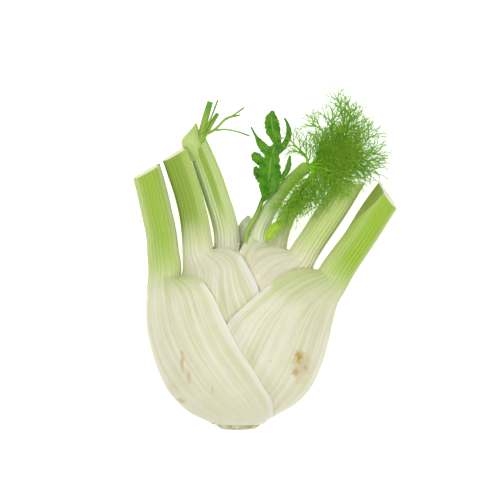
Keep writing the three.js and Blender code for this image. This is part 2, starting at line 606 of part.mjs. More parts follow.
LEAVES.forEach(({ name, color }, i) => {
  const inside = leaves.slice(i + 1).map(({ room }) => room);
  const whole = name === "left_third_leaf" ? leaves[i].solid.add(cutNode.solid) : leaves[i].solid;
  place(name, cutBy(whole, [...inside, ...inner, rootPlate.room]), color, 0.5);
});
place("root_plate", rootPlate.solid, 0xd2c49c, 0.8);
place("frond_stalk", cutBy(frondStalk.solid, [darkLeaf.room, leaflet.room]), 0xb9cd72, 0.5);
place("leaf_dark", darkLeaf.solid, 0x2e7a14, 0.45);
place("leaflet_small", leaflet.solid, 0xa2c932, 0.5);
place("sheath_back_tip", cutBy(backTip.solid, [frondStalk.room, darkLeaf.room]), 0xd5d6c4, 0.6);
place("frond_stubs", cutBy(join(STUBS.map((path) => stem(path, 5))), [leaves[3].room, cutNode.room]), 0x8db83c, 0.5);
const aroundFrond = [...leaves.map(({ room }) => room), ...inner];
place("frond", cutBy(join(SPRAYS.map(spray)), aroundFrond), 0x4f9a1c, 0.55);

export default group;
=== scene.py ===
"""Dresses a packed fennel bulb for a studio picture.

A fennel bulb is a stack of leaves on a short stem. Each leaf begins as a broad white sheath that wraps
round the leaves inside it, and ends as a ribbed green stalk. Every piece here is worked out in
millimetres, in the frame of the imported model, and becomes a mesh in metres.
"""

import math

import bpy
import numpy as np
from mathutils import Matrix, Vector


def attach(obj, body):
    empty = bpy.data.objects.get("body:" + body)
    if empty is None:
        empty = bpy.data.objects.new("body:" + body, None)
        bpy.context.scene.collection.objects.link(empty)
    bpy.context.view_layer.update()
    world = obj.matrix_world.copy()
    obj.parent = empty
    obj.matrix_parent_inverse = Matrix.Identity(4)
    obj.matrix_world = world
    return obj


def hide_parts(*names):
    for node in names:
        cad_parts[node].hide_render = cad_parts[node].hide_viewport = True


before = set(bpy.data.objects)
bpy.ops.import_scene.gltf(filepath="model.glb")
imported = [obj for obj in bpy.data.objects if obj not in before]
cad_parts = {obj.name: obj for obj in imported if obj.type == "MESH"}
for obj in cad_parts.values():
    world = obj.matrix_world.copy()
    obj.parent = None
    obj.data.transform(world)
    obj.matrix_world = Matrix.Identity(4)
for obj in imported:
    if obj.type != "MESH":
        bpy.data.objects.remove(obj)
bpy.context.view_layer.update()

bl_info = {
    "name": "Fennel bulb",
    "version": (1, 0, 0),
    "blender": (4, 5, 0),
    "location": "3D View > Sidebar > Fennel",
    "description": "Builds a trimmed fennel bulb with its sheaths, cut stalks and fronds",
    "category": "Object",
}

MM = 0.001

# Shape of the bulb and its leaves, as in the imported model, in millimetres
MID_Z = 30  # height of the plane in which the stalks stand
ROOM = 0.6  # room between one sheath and the next
EDGE = 1.1  # thickness of a sheath at its free edge
EDGE_RAMP = 35  # distance from the edge at which a sheath has its full thickness
FLOOR_WALL = 1  # least thickness over the flat spot
EDGE_PRESS = 5  # how far beside a front edge the leaf below is still pressed in
BACK_PRESS = 16  # the same beside a back edge
CLOSING = 8  # height over its throat at which a leaf no longer presses the ones inside it
SHOULDER = 4.5  # a sheath's edge turns into the stalk over this length below the throat
SHOULDER_BACK = 17  # the middle of the sheath begins to narrow this much earlier
SHOULDER_WALL = 2  # the inner face turns this much earlier than the outer one
LOBE_WIDTH = 0.12  # share of the way round, from each edge, over which the throat's lobes rise
STALK_CORNER = math.radians(145)  # where the stalk's inner face begins, from its outward side
STALK_GROOVE = 1.1  # depth of the groove along a stalk's inner face
CUT_FACE = 0.13  # how far the cut ends face upwards
CUT_BLEND = 25  # length over which a stalk's sections tilt into its cut
BLADE_THICK = 0.55  # thickness of a leaf blade
FOLD = 0.12  # how far a blade's halves fold up, as a share of its half width
WAVE = 0.16  # how far they wave up and down, as a share of it too
RIPPLE = 0.16  # height of the ripples at a blade's teeth
MIDRIB = 0.18  # depth of the groove over its midrib
MIDRIB_WIDTH = 0.12  # half width of that groove, as a share of the blade's

# Ribs and veins
RIB_DENSITY = 2.6  # veins on a sheath for each rib of its stalk
RIB_GROOVE = 0.7  # how far the grooves between a stalk's ribs sink in, as a share of the ribs' height
VEIN_FADE = (18, 58)  # how far below its throat a sheath's veins are full, and where they are weakest
VEIN_CALM = (2, 16)  # how far below the throat the veins are calmer, and where they are full again
STEM_LINES = 9  # fine lines on each half of a young stalk
SIDE_VEINS = 9  # side veins on each half of a blade

# Free edges of the sheaths
RIM_INSET = 0.012  # the inner face ends this share of the way round before the outer one
RIM_ROUND = 0.35  # how far the edge is rounded out, as a share of its thickness
RIM_FLOOR = 0.2  # least height of an edge over the ground
FAR_FROM_RIM = 30  # distance from the free edge that the inner face is given, in millimetres
FAR_ON_STALK = 40  # distance that a stalk's points get beyond their own, for no painted edge highlight is to show there
FAR_ON_CUTS = 5.0  # distance that the cut ends are given, in the map's own unit

# Lengths in millimetres that count as 1 in the maps: along a leaf, and from its free edge
GRAIN_LENGTH = 100
RIM_LENGTH = 10

# What the zone map calls the faces of a leaf
OUTSIDE, INSIDE, TOP_CUT, ROOT_CUT = 0, 1, 3, 4

# Fineness of the meshes
ACROSS = 236  # points across each face of a leaf
ALONG = 150  # rings along it
ALONG_SHARES = (0.34, 0.38, 0.28)  # shares of the rings on the sheath, on its shoulder and on the stalk
DENSE_BELOW = 16  # the shoulder begins this far below the throat
CUT_RINGS = 8  # steps across the wall on a cut end
BRANCH_POINTS = 28  # points along a branch of the frond
SHARP = math.radians(50)  # edges that turn more than this are drawn sharp

# Inputs of the frond's node tree, named for the sizes below
FROND_SIZES = (
    "Side stem spacing", "Side stem length", "Twig spacing", "Twig length", "Thread spacing", "Thread length",
    "Thread thickness",
)


class Track:
    """Smooth interpolation through rows of [key, value, value, ...], without overshoot."""

    def __init__(self, rows):
        self.rows = np.array(rows, dtype=float)
        self.keys = self.rows[:, 0]
        secants = np.diff(self.rows, axis=0)
        secants = secants / secants[:, :1]
        before, after = secants[:-1], secants[1:]
        same = before * after > 0
        total = np.where(same, before + after, 1)
        inner = np.where(same, 2 * before * after / total, 0)
        self.slopes = np.vstack([secants[:1], inner, secants[-1:]])

    def __call__(self, key, column=1):
        key = np.asarray(key, dtype=float)
        at = np.clip(key, self.keys[0], self.keys[-1])
        i = np.clip(np.searchsorted(self.keys, at, side="left") - 1, 0, len(self.keys) - 2)
        h = self.keys[i + 1] - self.keys[i]
        t = (at - self.keys[i]) / h
        values, slopes = self.rows[:, column], self.slopes[:, column]
        inside = (
            (2 * t**3 - 3 * t**2 + 1) * values[i]
            + (t**3 - 2 * t**2 + t) * h * slopes[i]
            + (3 * t**2 - 2 * t**3) * values[i + 1]
            + (t**3 - t**2) * h * slopes[i + 1]
        )
        end = np.where(key > at, slopes[-1], slopes[0])
        return inside + (key - at) * end


def smooth(x):
    t = np.clip(x, 0, 1)
    return t * t * (3 - 2 * t)


def mix(a, b, t):
    return a + (b - a) * t


# The bulb's outside: rows of [y, reach to the left, reach to the right, half depth, stretch], where stretch is how
# much thicker a wall is across the slope
BULB = Track([
    [-55, 13, 11, 11.5, 1.5],
    [-52.5, 17.2, 14, 14.5, 1.8],
    [-48.4, 26, 21, 18.5, 1.8],
    [-44, 31.2, 28.6, 21.5, 1.5],
    [-36, 38, 36.4, 25.5, 1.25],
    [-27, 42.3, 41.2, 28.6, 1.1],
    [-15, 46.3, 45.2, 30.2, 1],
    [0, 48.8, 48.6, 31.1, 1],
    [8, 48.9, 51, 31.3, 1],
    [14, 48.9, 53, 30.7, 1],
    [22.4, 47.9, 57.7, 27, 1],
    [30.7, 47.3, 62.9, 21.8, 1],
    [38, 47.3, 68, 17.4, 1],
    [46, 47.6, 73, 13.8, 1],
    [56, 49, 79, 11, 1],
])
LEFT, RIGHT, DEPTH, STRETCH = 1, 2, 3, 4


class Leaf:
    """One leaf. front and back are its sheath's edges as [y, x]; reach is how far the sheath stands out to its
    own side near the stalk; stalk is [y, x, z, half width, half depth]."""

    def __init__(
        self, node, slot, side, thick, base, top, throat, lobe, cut, twist, ribs, ribbing, front, back, reach, stalk
    ):
        self.node, self.slot, self.side, self.thick = node, slot, side, thick
        self.base, self.top, self.throat, self.lobe = base, top, throat, lobe
        self.cut, self.twist, self.ribs, self.ribbing = cut, math.radians(twist), ribs, ribbing
        self.front, self.back, self.reach, self.stalk = map(Track, (front, back, reach, stalk))


# The leaves, from the outermost inwards
LEAVES = [
    Leaf(
        node="left_outer_leaf", slot="sheath_left", side=-1, thick=4.2,
        base=-54, top=77.5, throat=24, lobe=2.5, cut=-0.25, twist=0, ribs=11, ribbing=0.5,
        front=[[-54, 13], [-50, 16.4], [-45.5, 17.1], [-40, 16.1], [-35, 13.1], [-24.8, 7.1], [-14.6, 0.3],
               [-4.4, -5.2], [3.9, -9.2], [11.2, -12.6], [16.4, -15.8], [19.1, -17.8], [22.9, -21.3],
               [25.4, -24.4]],
        back=[[-54, 10], [-46, 16], [-30, 20], [-10, 18], [6, 14], [12, 6], [18, -8], [24, -22]],
        reach=[[-60, 60], [60, 60]],
        stalk=[[14, -40, 30, 8.6, 8.2], [26.5, -38.4, 30, 9.3, 8], [34.8, -39.3, 30, 8.9, 7.8],
               [43.2, -40.1, 30, 8.6, 7.6], [59.8, -43.5, 31, 8.5, 7.4], [68.1, -45.4, 31.5, 8.4, 7.3],
               [78.8, -48.3, 32, 8.2, 7.1]],
    ),
    Leaf(
        node="right_outer_leaf", slot="sheath_right", side=1, thick=4.2,
        base=-51, top=64.6, throat=22.5, lobe=4, cut=0.39, twist=40, ribs=11, ribbing=1,
        front=[[-51, -14], [-40, -23], [-27, -19], [-11.4, -12.5], [0.5, -5.2], [6.2, 0.5], [11.4, 6.2],
               [16.4, 12.2], [20, 17.2], [23, 21.5], [24.8, 26], [26, 32]],
        back=[[-51, -12], [-40, -18], [-20, -14], [0, -5], [10, 6], [18, 16], [24.8, 30]],
        reach=[[-60, 90], [60, 90]],
        stalk=[[14, 43, 29, 10, 8], [26.5, 50.3, 29, 9.3, 8], [43, 61.9, 29, 8.6, 7.5],
               [60, 73.5, 30, 8.4, 7.3], [67, 78.4, 30.5, 8.3, 7.2]],
    ),
    Leaf(
        node="left_second_leaf", slot="sheath_second", side=-1, thick=3.9,
        base=-47, top=86.2, throat=37.2, lobe=2.2, cut=-0.2, twist=0, ribs=9, ribbing=0.7,
        front=[[-47, 9], [-42, 12], [-30, 15], [-15, 17], [0, 16], [8, 13.6], [15.6, 10.2], [23.3, 6.7],
               [29.5, 3.3], [33, 1.2], [37, -1]],
        back=[[-47, 8], [-30, 12], [0, 8], [20, 0], [30, -10], [37, -16]],
        reach=[[-20, 60], [0, 43], [12, 38], [20, 32.5], [27, 29.8], [40, 29.6]],
        stalk=[[26, -20.6, 34, 9, 8], [34.8, -21, 35, 8.7, 8], [43.2, -21.8, 36, 8.2, 7.8],
               [51.5, -22.9, 36.5, 7.9, 7.6], [59.8, -24.7, 37, 7.6, 7.4], [68.1, -26.9, 37.5, 7.6, 7.3],
               [76.4, -29.8, 38, 7.5, 7.2], [89, -34.3, 38.5, 7.4, 7.1]],
    ),
    Leaf(
        node="left_third_leaf", slot="sheath_third", side=-1, thick=3.6,
        base=-44, top=90.5, throat=39, lobe=1.5, cut=-0.5, twist=0, ribs=9, ribbing=0.5,
        front=[[-44, 12], [-25, 14], [-5, 14], [8, 11], [17.2, 6.5], [23.4, 3.4], [28.3, 0.6], [33.3, -1.6],
               [36.9, -2.6], [39.8, -3.4]],
        back=[[-44, 8], [-20, 14], [5, 16], [20, 10], [39, -6]],
        reach=[[-20, 60], [0, 38], [12, 31], [22, 24], [32, 17], [44, 13.8]],
        stalk=[[36, -6, 29, 7.5, 7.2], [44.2, -6.4, 28, 7.2, 7], [54.8, -8.6, 27.5, 7, 6.8],
               [63.4, -11.4, 27, 6.9, 6.6], [72.3, -14.3, 27, 6.8, 6.5], [84.8, -19.2, 27.5, 6.4, 6.3],
               [92, -22.2, 28, 5.8, 6]],
    ),
    Leaf(
        node="right_second_leaf", slot="sheath_beige", side=1, thick=3.6,
        base=-41, top=71.7, throat=33.3, lobe=5, cut=-0.5, twist=0, ribs=9, ribbing=0.5,
        front=[[-41, -8], [-20, -14], [5, -16], [18, -11], [26, -1.5], [30, 0], [32, 1], [34, 4]],
        back=[[-41, -6], [-20, -8], [0, -3], [20, 4], [32, 18], [38, 24]],
        reach=[[-20, 60], [0, 44], [12, 41], [20, 39.5], [24, 38.7], [34.8, 42.6], [45, 50]],
        stalk=[[26, 28, 31, 8.5, 8], [34.8, 32.6, 31.5, 8, 7.8], [43.2, 38, 32, 7.7, 7.6],
               [51.5, 43.5, 32.5, 7.8, 7.4], [59.8, 49, 33, 7.8, 7.2], [72.8, 56.8, 34, 7.8, 7]],
    ),
    Leaf(
        node="right_inner_leaf", slot="sheath_inner", side=1, thick=3.3,
        base=-36, top=66, throat=40, lobe=6, cut=0, twist=0, ribs=6, ribbing=0.3,
        front=[[-38, -4], [-20, -8], [5, -8], [15, -7], [24, -5], [30, -2.5], [38, -0.6], [42, 0], [46, 3]],
        back=[[-38, -3], [-10, 0], [15, 4], [30, 12], [42, 18]],
        reach=[[-20, 60], [0, 36], [15, 30], [25, 26.5], [38, 25.8], [48, 28]],
        stalk=[[36, 18.6, 27, 5.4, 5], [44.2, 20.6, 25, 4.8, 4.6], [52.5, 23.6, 24, 4.6, 4.4],
               [61.4, 28.8, 24, 4.4, 4.2], [67, 32.4, 25, 4.2, 4]],
    ),
]

# Short stem that every leaf grows from: rows of [x, y, z, half width, half depth]
ROOT_PLATE = [[-1, -56.6, 30, 8.5, 8], [-1, -54.5, 30, 11.5, 10.5], [-1, -50, 30, 13, 12], [-1, -43, 30, 12, 11],
              [-1, -34, 30, 9.5, 9], [-1, -28, 30, 5, 5], [-1, -25, 30, 2, 2]]

# Pale stalk of the frond, swollen inside the bulb
FROND_STALK = [[2, -22, 30, 4, 4], [3, -8, 30, 12, 11], [5, 10, 31, 13, 12], [6.2, 28, 32, 9.5, 9.5],
               [8.4, 40, 33, 5.6, 5.6], [9.8, 46, 33.5, 4.9, 4.9], [12.9, 53, 34, 4.2, 4.2],
               [17, 60, 35, 3.7, 3.7], [23.6, 69, 36.5, 3.3, 3.3], [30, 75.6, 38, 3, 3],
               [33.8, 78.8, 38.6, 3.2, 3.2], [35.4, 80, 38.8, 2, 2]]

# Oblique cut sheath on the node at the top of the third leaf's stalk
CUT_NODE = [[-21.5, 85, 28, 5, 5], [-23.8, 89.5, 29.3, 5.3, 5], [-25, 92.3, 30.2, 5.6, 4.8],
            [-24.3, 96, 30.8, 3.5, 3.6], [-23.4, 99, 31, 2, 2.4], [-22.8, 102.2, 31, 0.5, 0.8]]

# Green stems and threads on that node: rows of [x, y, z, radius]
STUBS = [
    [[-20.6, 92.5, 30.5, 2.4], [-19.6, 96.5, 31, 2.2], [-18.8, 98.5, 31, 1.4]],
    [[-20.6, 95, 31, 1.7], [-18.2, 104, 32, 1.75], [-15.4, 113.4, 33, 1.5]],
    [[-19, 95, 30.5, 1.3], [-15.2, 101.5, 30.6, 1.2], [-11.6, 107.4, 30.5, 1]],
    [[-19.4, 96, 32, 0.6], [-14.9, 105.2, 34.5, 0.5], [-11.4, 114.2, 36, 0.4]],
    [[-19, 96, 31.5, 0.9], [-13.5, 98.6, 33, 0.7], [-6.2, 105, 34, 0.6], [0, 106.4, 34, 0.4]],
    [[-7, 104.2, 34, 0.5], [-2, 107.2, 35, 0.45], [2.2, 110.2, 35.5, 0.4]],
    [[-14, 98.4, 32.8, 0.5], [-8, 99, 32, 0.45], [-2.6, 98.2, 31.5, 0.4], [5, 95.7, 31, 0.4]],
]

# Dark leaf: its stem, then its lobes as midribs with half widths
DARK_STEM = [[3.4, 36.5, 41.6, 1.1], [3.1, 41, 40.3, 1.2], [3.2, 44.6, 39.4, 1.25], [5.2, 49, 39, 1.25],
             [9.2, 56, 39, 1.2], [11.6, 62.4, 39.6, 1.1], [14.5, 69, 40.6, 0.9], [16.6, 77, 41.4, 0.7],
             [17, 86, 41.8, 0.6]]
DARK_LOBES = [
    [[12.2, 61.5, 39.8, 0.7], [13.8, 66.5, 40.6, 3.6], [14.9, 72, 41.2, 6.2], [15.3, 77.5, 41.6, 6.1],
     [15.9, 82, 41.8, 5], [17, 87, 41.9, 3.6], [19.4, 91, 42, 1.6]],
    [[20.2, 87.6, 41.9, 1.2], [18.8, 93.4, 42.4, 2.7], [16.8, 99.2, 42.8, 4.1], [16.3, 103.6, 43, 3.6],
     [16.9, 108.2, 43.2, 0.8]],
    [[16.8, 84.6, 41.8, 0.8], [13, 88.4, 42.4, 2.6], [10.4, 91.5, 42.8, 2], [8.3, 95, 43, 0.8],
     [5.7, 99.8, 43, 0.4]],
    [[15.4, 78, 41.3, 1], [10.4, 82.4, 41.8, 2.6], [8.4, 84.3, 42, 2.7], [6.6, 86.4, 42, 1.2]],
    [[14.4, 69.6, 40.7, 1], [10.6, 73.6, 41.3, 2.5], [9, 76.4, 41.5, 2.3], [7.8, 79.4, 41.6, 0.9]],
    [[17.4, 84, 41.9, 0.8], [22.9, 90.5, 42.4, 1.6], [25.3, 96.7, 42.8, 1.5], [24.6, 101, 43, 0.9],
     [22.9, 104.5, 43, 0.4]],
    [[17.6, 70, 41.2, 0.7], [22, 74, 41.9, 1.4], [25, 79.5, 42.3, 1.5], [25.8, 85, 42.5, 0.5]],
]

# Bright leaflet at the throat, and the pale tip of a sheath behind the frond's stalk
LEAFLET = [[13, 40.6, 40.6, 0.5], [15.4, 44.4, 41, 2.3], [17.6, 47.2, 41.2, 2.8], [20, 49.8, 41.2, 1.7],
           [22.2, 51.8, 41.2, 0.4]]
BACK_TIP = [[1.5, 30, 23.5, 4], [2.4, 40, 25, 4.2], [3, 46, 25.6, 4.4], [3.8, 50.6, 26, 3.4], [4.6, 54.4, 26, 0.8]]

# Branches of the frond from the end of its stalk, as rows of [x, y] or [x, y, z]. Where z isn't given, it rises with
# the points, by how many of them the branch has
NODE = [35.2, 80, 39]
RISES = {3: (41.8, 44, 45), 4: (41.6, 44.2, 45.5, 45.5), 5: (41.1, 43.2, 45.2, 45.5, 45.5)}
BRANCHES = [
    [[42.3, 83.9], [49.5, 90], [53.5, 99.1], [52.5, 107.3], [50, 114.6]],
    [[43.4, 84.4], [51.6, 91.5], [56.1, 100.7], [57.1, 108.4], [54.4, 111.6]],
    [[40.3, 84.4], [45.4, 89.4], [47.9, 96], [46.8, 102.2], [47.9, 105.3]],
    [[39.8, 84.9], [41.8, 91], [42.7, 97.1], [39.1, 100.2], [37.6, 101.2]],
    [[33.5, 84.8, 42.5], [29.9, 89.4, 45.5], [26.8, 92.4, 45.5]],
    [[46.4, 83.8], [56.7, 89.9], [61.8, 96], [63.8, 99.1]],
    [[47.5, 82.8], [59.2, 87.3], [64.3, 92.4], [66.4, 95.5]],
    [[49, 81.8], [60.8, 84.8], [69, 86.8], [70.9, 87.6]],
    [[49, 80.7], [60.8, 81.7], [69, 82.2], [71.1, 82.2]],
    [[48, 79.7], [57.7, 78.6], [64.8, 77.5], [69.5, 76.5]],
    [[42.3, 78.7], [50, 75], [54, 72.4], [55.6, 70.3]],
    [[38.2, 75.6], [33, 68.8], [27.5, 61.5], [24.3, 56.8]],
    [[38.2, 76.1], [35, 68.3], [29.9, 62.1], [25.3, 57.5]],
    [[39.2, 75.6], [38.6, 68.3], [35, 62.1], [30.4, 58]],
    [[41.3, 76.6], [44.3, 71.4], [43.2, 66.2], [39.6, 62.1]],
    [[40.3, 77.6], [46.4, 73.5], [50.4, 69.3], [49.4, 66.7]],
    [[41.8, 82.3], [47.9, 85.8], [53.5, 93], [58.2, 100.2], [59.2, 104.3]],
    [[42.3, 81.3], [51.5, 82.7], [58.7, 82.7], [64.8, 83.7]],
    [[37.2, 76.2], [32, 69.6], [27.2, 63.4], [23.2, 58]],
    [[43.4, 79.7], [51.5, 78.6], [57.6, 74.4], [61.8, 72.9]],
    [[38.7, 82.8], [44.3, 86.3], [51.5, 87.8], [57.6, 88.8]],
    [[39.4, 80.6], [45, 81.4], [50, 84.4]],
    [[39.2, 78.8], [44.4, 77.6], [48.6, 76.2]],
    [[38.6, 83], [42.6, 88.4], [47, 92.4]],
]


def reach_to(side, y):
    return np.where(side < 0, BULB(y, LEFT), BULB(y, RIGHT))


def angle_at(side, x, y):
    """Angle of a point at x on the bulb's outside, from the leaf's own side."""
    across = side * x
    along = np.where(across > 0, across / reach_to(side, y), across / reach_to(-side, y))
    return np.arccos(np.clip(along, -1, 1))


def wall_at(leaf, from_edge):
    return mix(EDGE, leaf.thick, smooth(from_edge / EDGE_RAMP))


def cover(leaf, x, y, depth):
    """Depth that a leaf takes up over a point inside it, with the room that it leaves."""
    side_of_point = np.where(x < 0, -1, 1)
    theta = np.arctan2(np.abs(depth) / BULB(y, DEPTH), leaf.side * x / reach_to(side_of_point, y))
    edge = angle_at(leaf.side, np.where(depth > 0, leaf.front(y), leaf.back(y)), y)
    inside = (edge - theta) * np.hypot(x, depth)
    beside = np.where(depth > 0, EDGE_PRESS, BACK_PRESS)
    pressed = smooth((inside + beside) / beside)
    still_closed = 1 - smooth((y - leaf.throat) / CLOSING)
    return pressed * (wall_at(leaf, inside) * BULB(y, STRETCH) + ROOM) * still_closed


def sheath_point(leaf, y, theta, lift):
    """Points of a leaf's sheath, lift above its outer face."""
    outer = LEAVES[: LEAVES.index(leaf)]
    cos, sin = np.cos(theta), np.sin(theta)
    facing = np.where(cos > 0, leaf.side, -leaf.side)
    reach = reach_to(facing, y)
    depth = BULB(y, DEPTH) * sin
    below = sum((cover(other, leaf.side * cos * reach, y, depth) for other in outer), np.zeros_like(reach))
    beside = sum((cover(other, leaf.side * reach, y, 0.01) for other in outer), np.zeros_like(reach))
    a = np.where(cos > 0, np.minimum(reach - beside, leaf.reach(y)), reach - below)
    for other in outer:
        within = other.reach(y) - other.thick - ROOM
        a = np.where(facing == other.side, np.minimum(a, within), a)
    b = BULB(y, DEPTH) - below
    length = np.hypot(cos / a, sin / b)
    x = leaf.side * (a * cos + cos / a / length * lift)
    z = MID_Z + b * sin + sin / b / length * lift
    return np.stack([x, y + 0 * x, z], axis=-1)


def stalk_point(leaf, y, s, lift, inner):
    """Points of a leaf's stalk: on its rounded outer face, or on the grooved inner one."""
    x, z, half_width, half_depth = (leaf.stalk(y, column) for column in (1, 2, 3, 4))
    run_x, run_z = (leaf.stalk(y + 0.5, column) - leaf.stalk(y - 0.5, column) for column in (1, 2))
    along = np.stack([run_x, np.ones_like(run_x), run_z], axis=-1)
    along /= np.linalg.norm(along, axis=-1, keepdims=True)
    wide = np.cross(along, [0, 0, 1])
    wide /= np.linalg.norm(wide, axis=-1, keepdims=True)
    deep = np.cross(wide, along)
    turned = mix(STALK_CORNER, -STALK_CORNER, s)
    if inner:
        out = half_width * math.cos(STALK_CORNER) + STALK_GROOVE * np.sin(math.pi * s) - lift
        up = (half_depth + lift) * math.sin(STALK_CORNER) * (1 - 2 * s)
    else:
        out = (half_width + lift) * np.cos(turned)
        up = (half_depth + lift) * np.sin(turned)
    near_cut = smooth((y - leaf.top + CUT_BLEND) / CUT_BLEND)
    roll = leaf.twist * near_cut
    across = out * np.cos(roll) + up * np.sin(roll)
    rise = up * np.cos(roll) - out * np.sin(roll)
    tilt = -(leaf.cut * across * leaf.side + CUT_FACE * rise) * near_cut
    middle = np.stack([x, y + 0 * x, z], axis=-1)
    return middle + (leaf.side * across)[..., None] * wide + rise[..., None] * deep + tilt[..., None] * along


def turn_of(leaf, y, s, ahead=0):
    """0 on the sheath, 1 on the stalk."""
    start = leaf.throat - SHOULDER - SHOULDER_BACK * np.sin(math.pi * s)
    return smooth((y + ahead - start) / (leaf.throat - start))


def edge_distance(leaf, y, s):
    front = angle_at(leaf.side, leaf.front(y), y)
    back = angle_at(leaf.side, leaf.back(y), y)
    return np.minimum(s, 1 - s) * (front + back) * 0.5 * (reach_to(leaf.side, y) + BULB(y, DEPTH))


def rib_relief(leaf, y, s, sizes):
    """Height of the ribs: uneven ones that fade down the sheath and run up the stalk."""
    draws = np.random.default_rng(round(leaf.top * 10 + leaf.throat))
    fade = smooth(np.sin(math.pi * s) * 2.4 - 0.15)  # none at the free edges
    count = round(leaf.ribs * RIB_DENSITY)
    heights = draws.uniform(0.05, 1, count + 3) ** 1.4
    shifts = draws.uniform(0, 2 * math.pi, 2)
    place = s * count + 0.5 * np.sin(9 * s + shifts[0]) + 0.2 * np.sin(31 * s + shifts[1])  # unevenly spaced
    ridge = 0.5 + 0.5 * np.cos(2 * math.pi * place)
    strength = heights[np.clip(np.rint(place).astype(int) + 1, 0, count + 2)]
    below = leaf.throat - y
    full, weakest = VEIN_FADE
    calm, lively = VEIN_CALM
    on_sheath = mix(0.12, 1, smooth((weakest - below) / (weakest - full)))
    on_sheath = on_sheath * mix(0.35, 1, smooth((below - calm) / (lively - calm)))
    on_stalk = np.abs(np.cos(math.pi * (s + untwist(leaf, y)) * leaf.ribs * 2)) ** 1.5
    turn = turn_of(leaf, y, s)
    sheath = sizes.sheath_vein / MM * leaf.ribbing * on_sheath * ridge * strength
    stalk = sizes.stalk_rib / MM * (on_stalk - RIB_GROOVE)
    return fade * mix(sheath, stalk, turn)


def untwist(leaf, y):
    """What to add to s where a stalk is twisted, so that its lines run straight to the cut."""
    return leaf.twist * smooth((y - leaf.top + CUT_BLEND) / CUT_BLEND) / (2 * STALK_CORNER)


def leaf_point(leaf, y, s, inner, sizes):
    """Points of a leaf: s runs from its front edge, 0, round the outside to its back edge, 1."""
    front = angle_at(leaf.side, leaf.front(y), y)
    back = angle_at(leaf.side, leaf.back(y), y)
    theta = mix(front, -back, s)
    wall = wall_at(leaf, edge_distance(leaf, y, s)) * BULB(y, STRETCH)
    relief = rib_relief(leaf, y, s, sizes)
    lift = -wall if inner else relief
    turn = turn_of(leaf, y, s, SHOULDER_WALL if inner else 0)
    stalk = stalk_point(leaf, y, s, 0 * relief if inner else relief, inner)
    point = mix(sheath_point(leaf, y, theta, lift), stalk, turn[..., None])
    point[..., 1] += leaf.lobe * 4 * turn * (1 - turn) * np.exp(-np.minimum(s, 1 - s) / LOBE_WIDTH)
    point[..., 2] = np.maximum(point[..., 2], FLOOR_WALL if inner else 0)
    return point


def add_mesh(name, points, faces, maps, material):
    """A mesh object from points in millimetres, with a UV map for each named array of pairs."""
    mesh = bpy.data.meshes.new(name)
    mesh.from_pydata((np.asarray(points) * MM).tolist(), [], faces)
    corners = np.zeros(len(mesh.loops), dtype=np.int32)
    mesh.loops.foreach_get("vertex_index", corners)
    for title, pairs in maps.items():
        layer = mesh.uv_layers.new(name=title)
        layer.data.foreach_set("uv", np.asarray(pairs, dtype=np.float32)[corners].ravel())
    mesh.materials.append(material)
    turn_outwards(mesh)
    mesh.shade_smooth()
    mesh.set_sharp_from_angle(angle=SHARP)
    made = bpy.data.objects.new(name, mesh)
    bpy.context.scene.collection.objects.link(made)
    return made


def turn_outwards(mesh):
    """Flips a closed mesh whose faces all point inwards."""
    mesh.calc_loop_triangles()
    count = len(mesh.loop_triangles)
    corners = np.zeros(count * 3, dtype=np.int32)
    mesh.loop_triangles.foreach_get("vertices", corners)
    places = np.zeros(len(mesh.vertices) * 3, dtype=np.float32)
    mesh.vertices.foreach_get("co", places)
    a, b, c = (places.reshape(-1, 3)[corners.reshape(-1, 3)[:, k]] for k in range(3))
    if np.einsum("ij,ij->i", a, np.cross(b, c)).sum() < 0:
        mesh.flip_normals()


def dress(made, node):
    """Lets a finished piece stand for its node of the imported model."""
    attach(made, "root")
    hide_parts(node)


def tube_faces(rings, count):
    """Quads between rings of points that close on themselves."""
    faces = []
    for r in range(rings - 1):
        here, there = r * count, (r + 1) * count
        faces += [(here + i, here + (i + 1) % count, there + (i + 1) % count, there + i) for i in range(count)]
    return faces


def leaf_rings(leaf, heights, s, s_inside, sizes):
    """Points of a leaf's outer and inner faces, and its closed rings with the free edges rounded out."""
    outside = leaf_point(leaf, heights, s, False, sizes)
    inside = leaf_point(leaf, heights, s_inside, True, sizes)
    rims = []
    for end, beside in ((0, 1), (-1, -2)):
        across = outside[:, end] - outside[:, beside]
        across /= np.linalg.norm(across, axis=-1, keepdims=True)
        rims.append(mix(outside[:, end], inside[:, end], 0.5) + across * EDGE * RIM_ROUND)
    front_rim, back_rim = rims
    back_rim[:, 2] = np.maximum(back_rim[:, 2], RIM_FLOOR)
    rings = np.concatenate([outside, back_rim[:, None], inside[:, ::-1], front_rim[:, None]], axis=1)
    return outside, inside, rings


def cut_faces(first, count, total, is_top):
    """Faces of a leaf's cut end. Its ring of count points begins at first, and its inner points at total."""
    rungs = [np.arange(first, first + ACROSS)]
    rungs += [np.arange(ACROSS) + total + k * ACROSS for k in range(CUT_RINGS - 1)]
    rungs.append(np.arange(first + 2 * ACROSS, first + ACROSS, -1))
    faces = []
    for low, high in zip(rungs, rungs[1:]):
        quads = np.stack([low[:-1], high[:-1], high[1:], low[1:]], -1)
        faces += [tuple(q if is_top else q[::-1]) for q in quads.tolist()]
    back_side = [int(rung[-1]) for rung in rungs] + [first + ACROSS]
    front_side = [int(rung[0]) for rung in rungs] + [first + count - 1]
    faces.append(tuple(back_side if is_top else back_side[::-1]))
    faces.append(tuple(front_side[::-1] if is_top else front_side))
    return faces


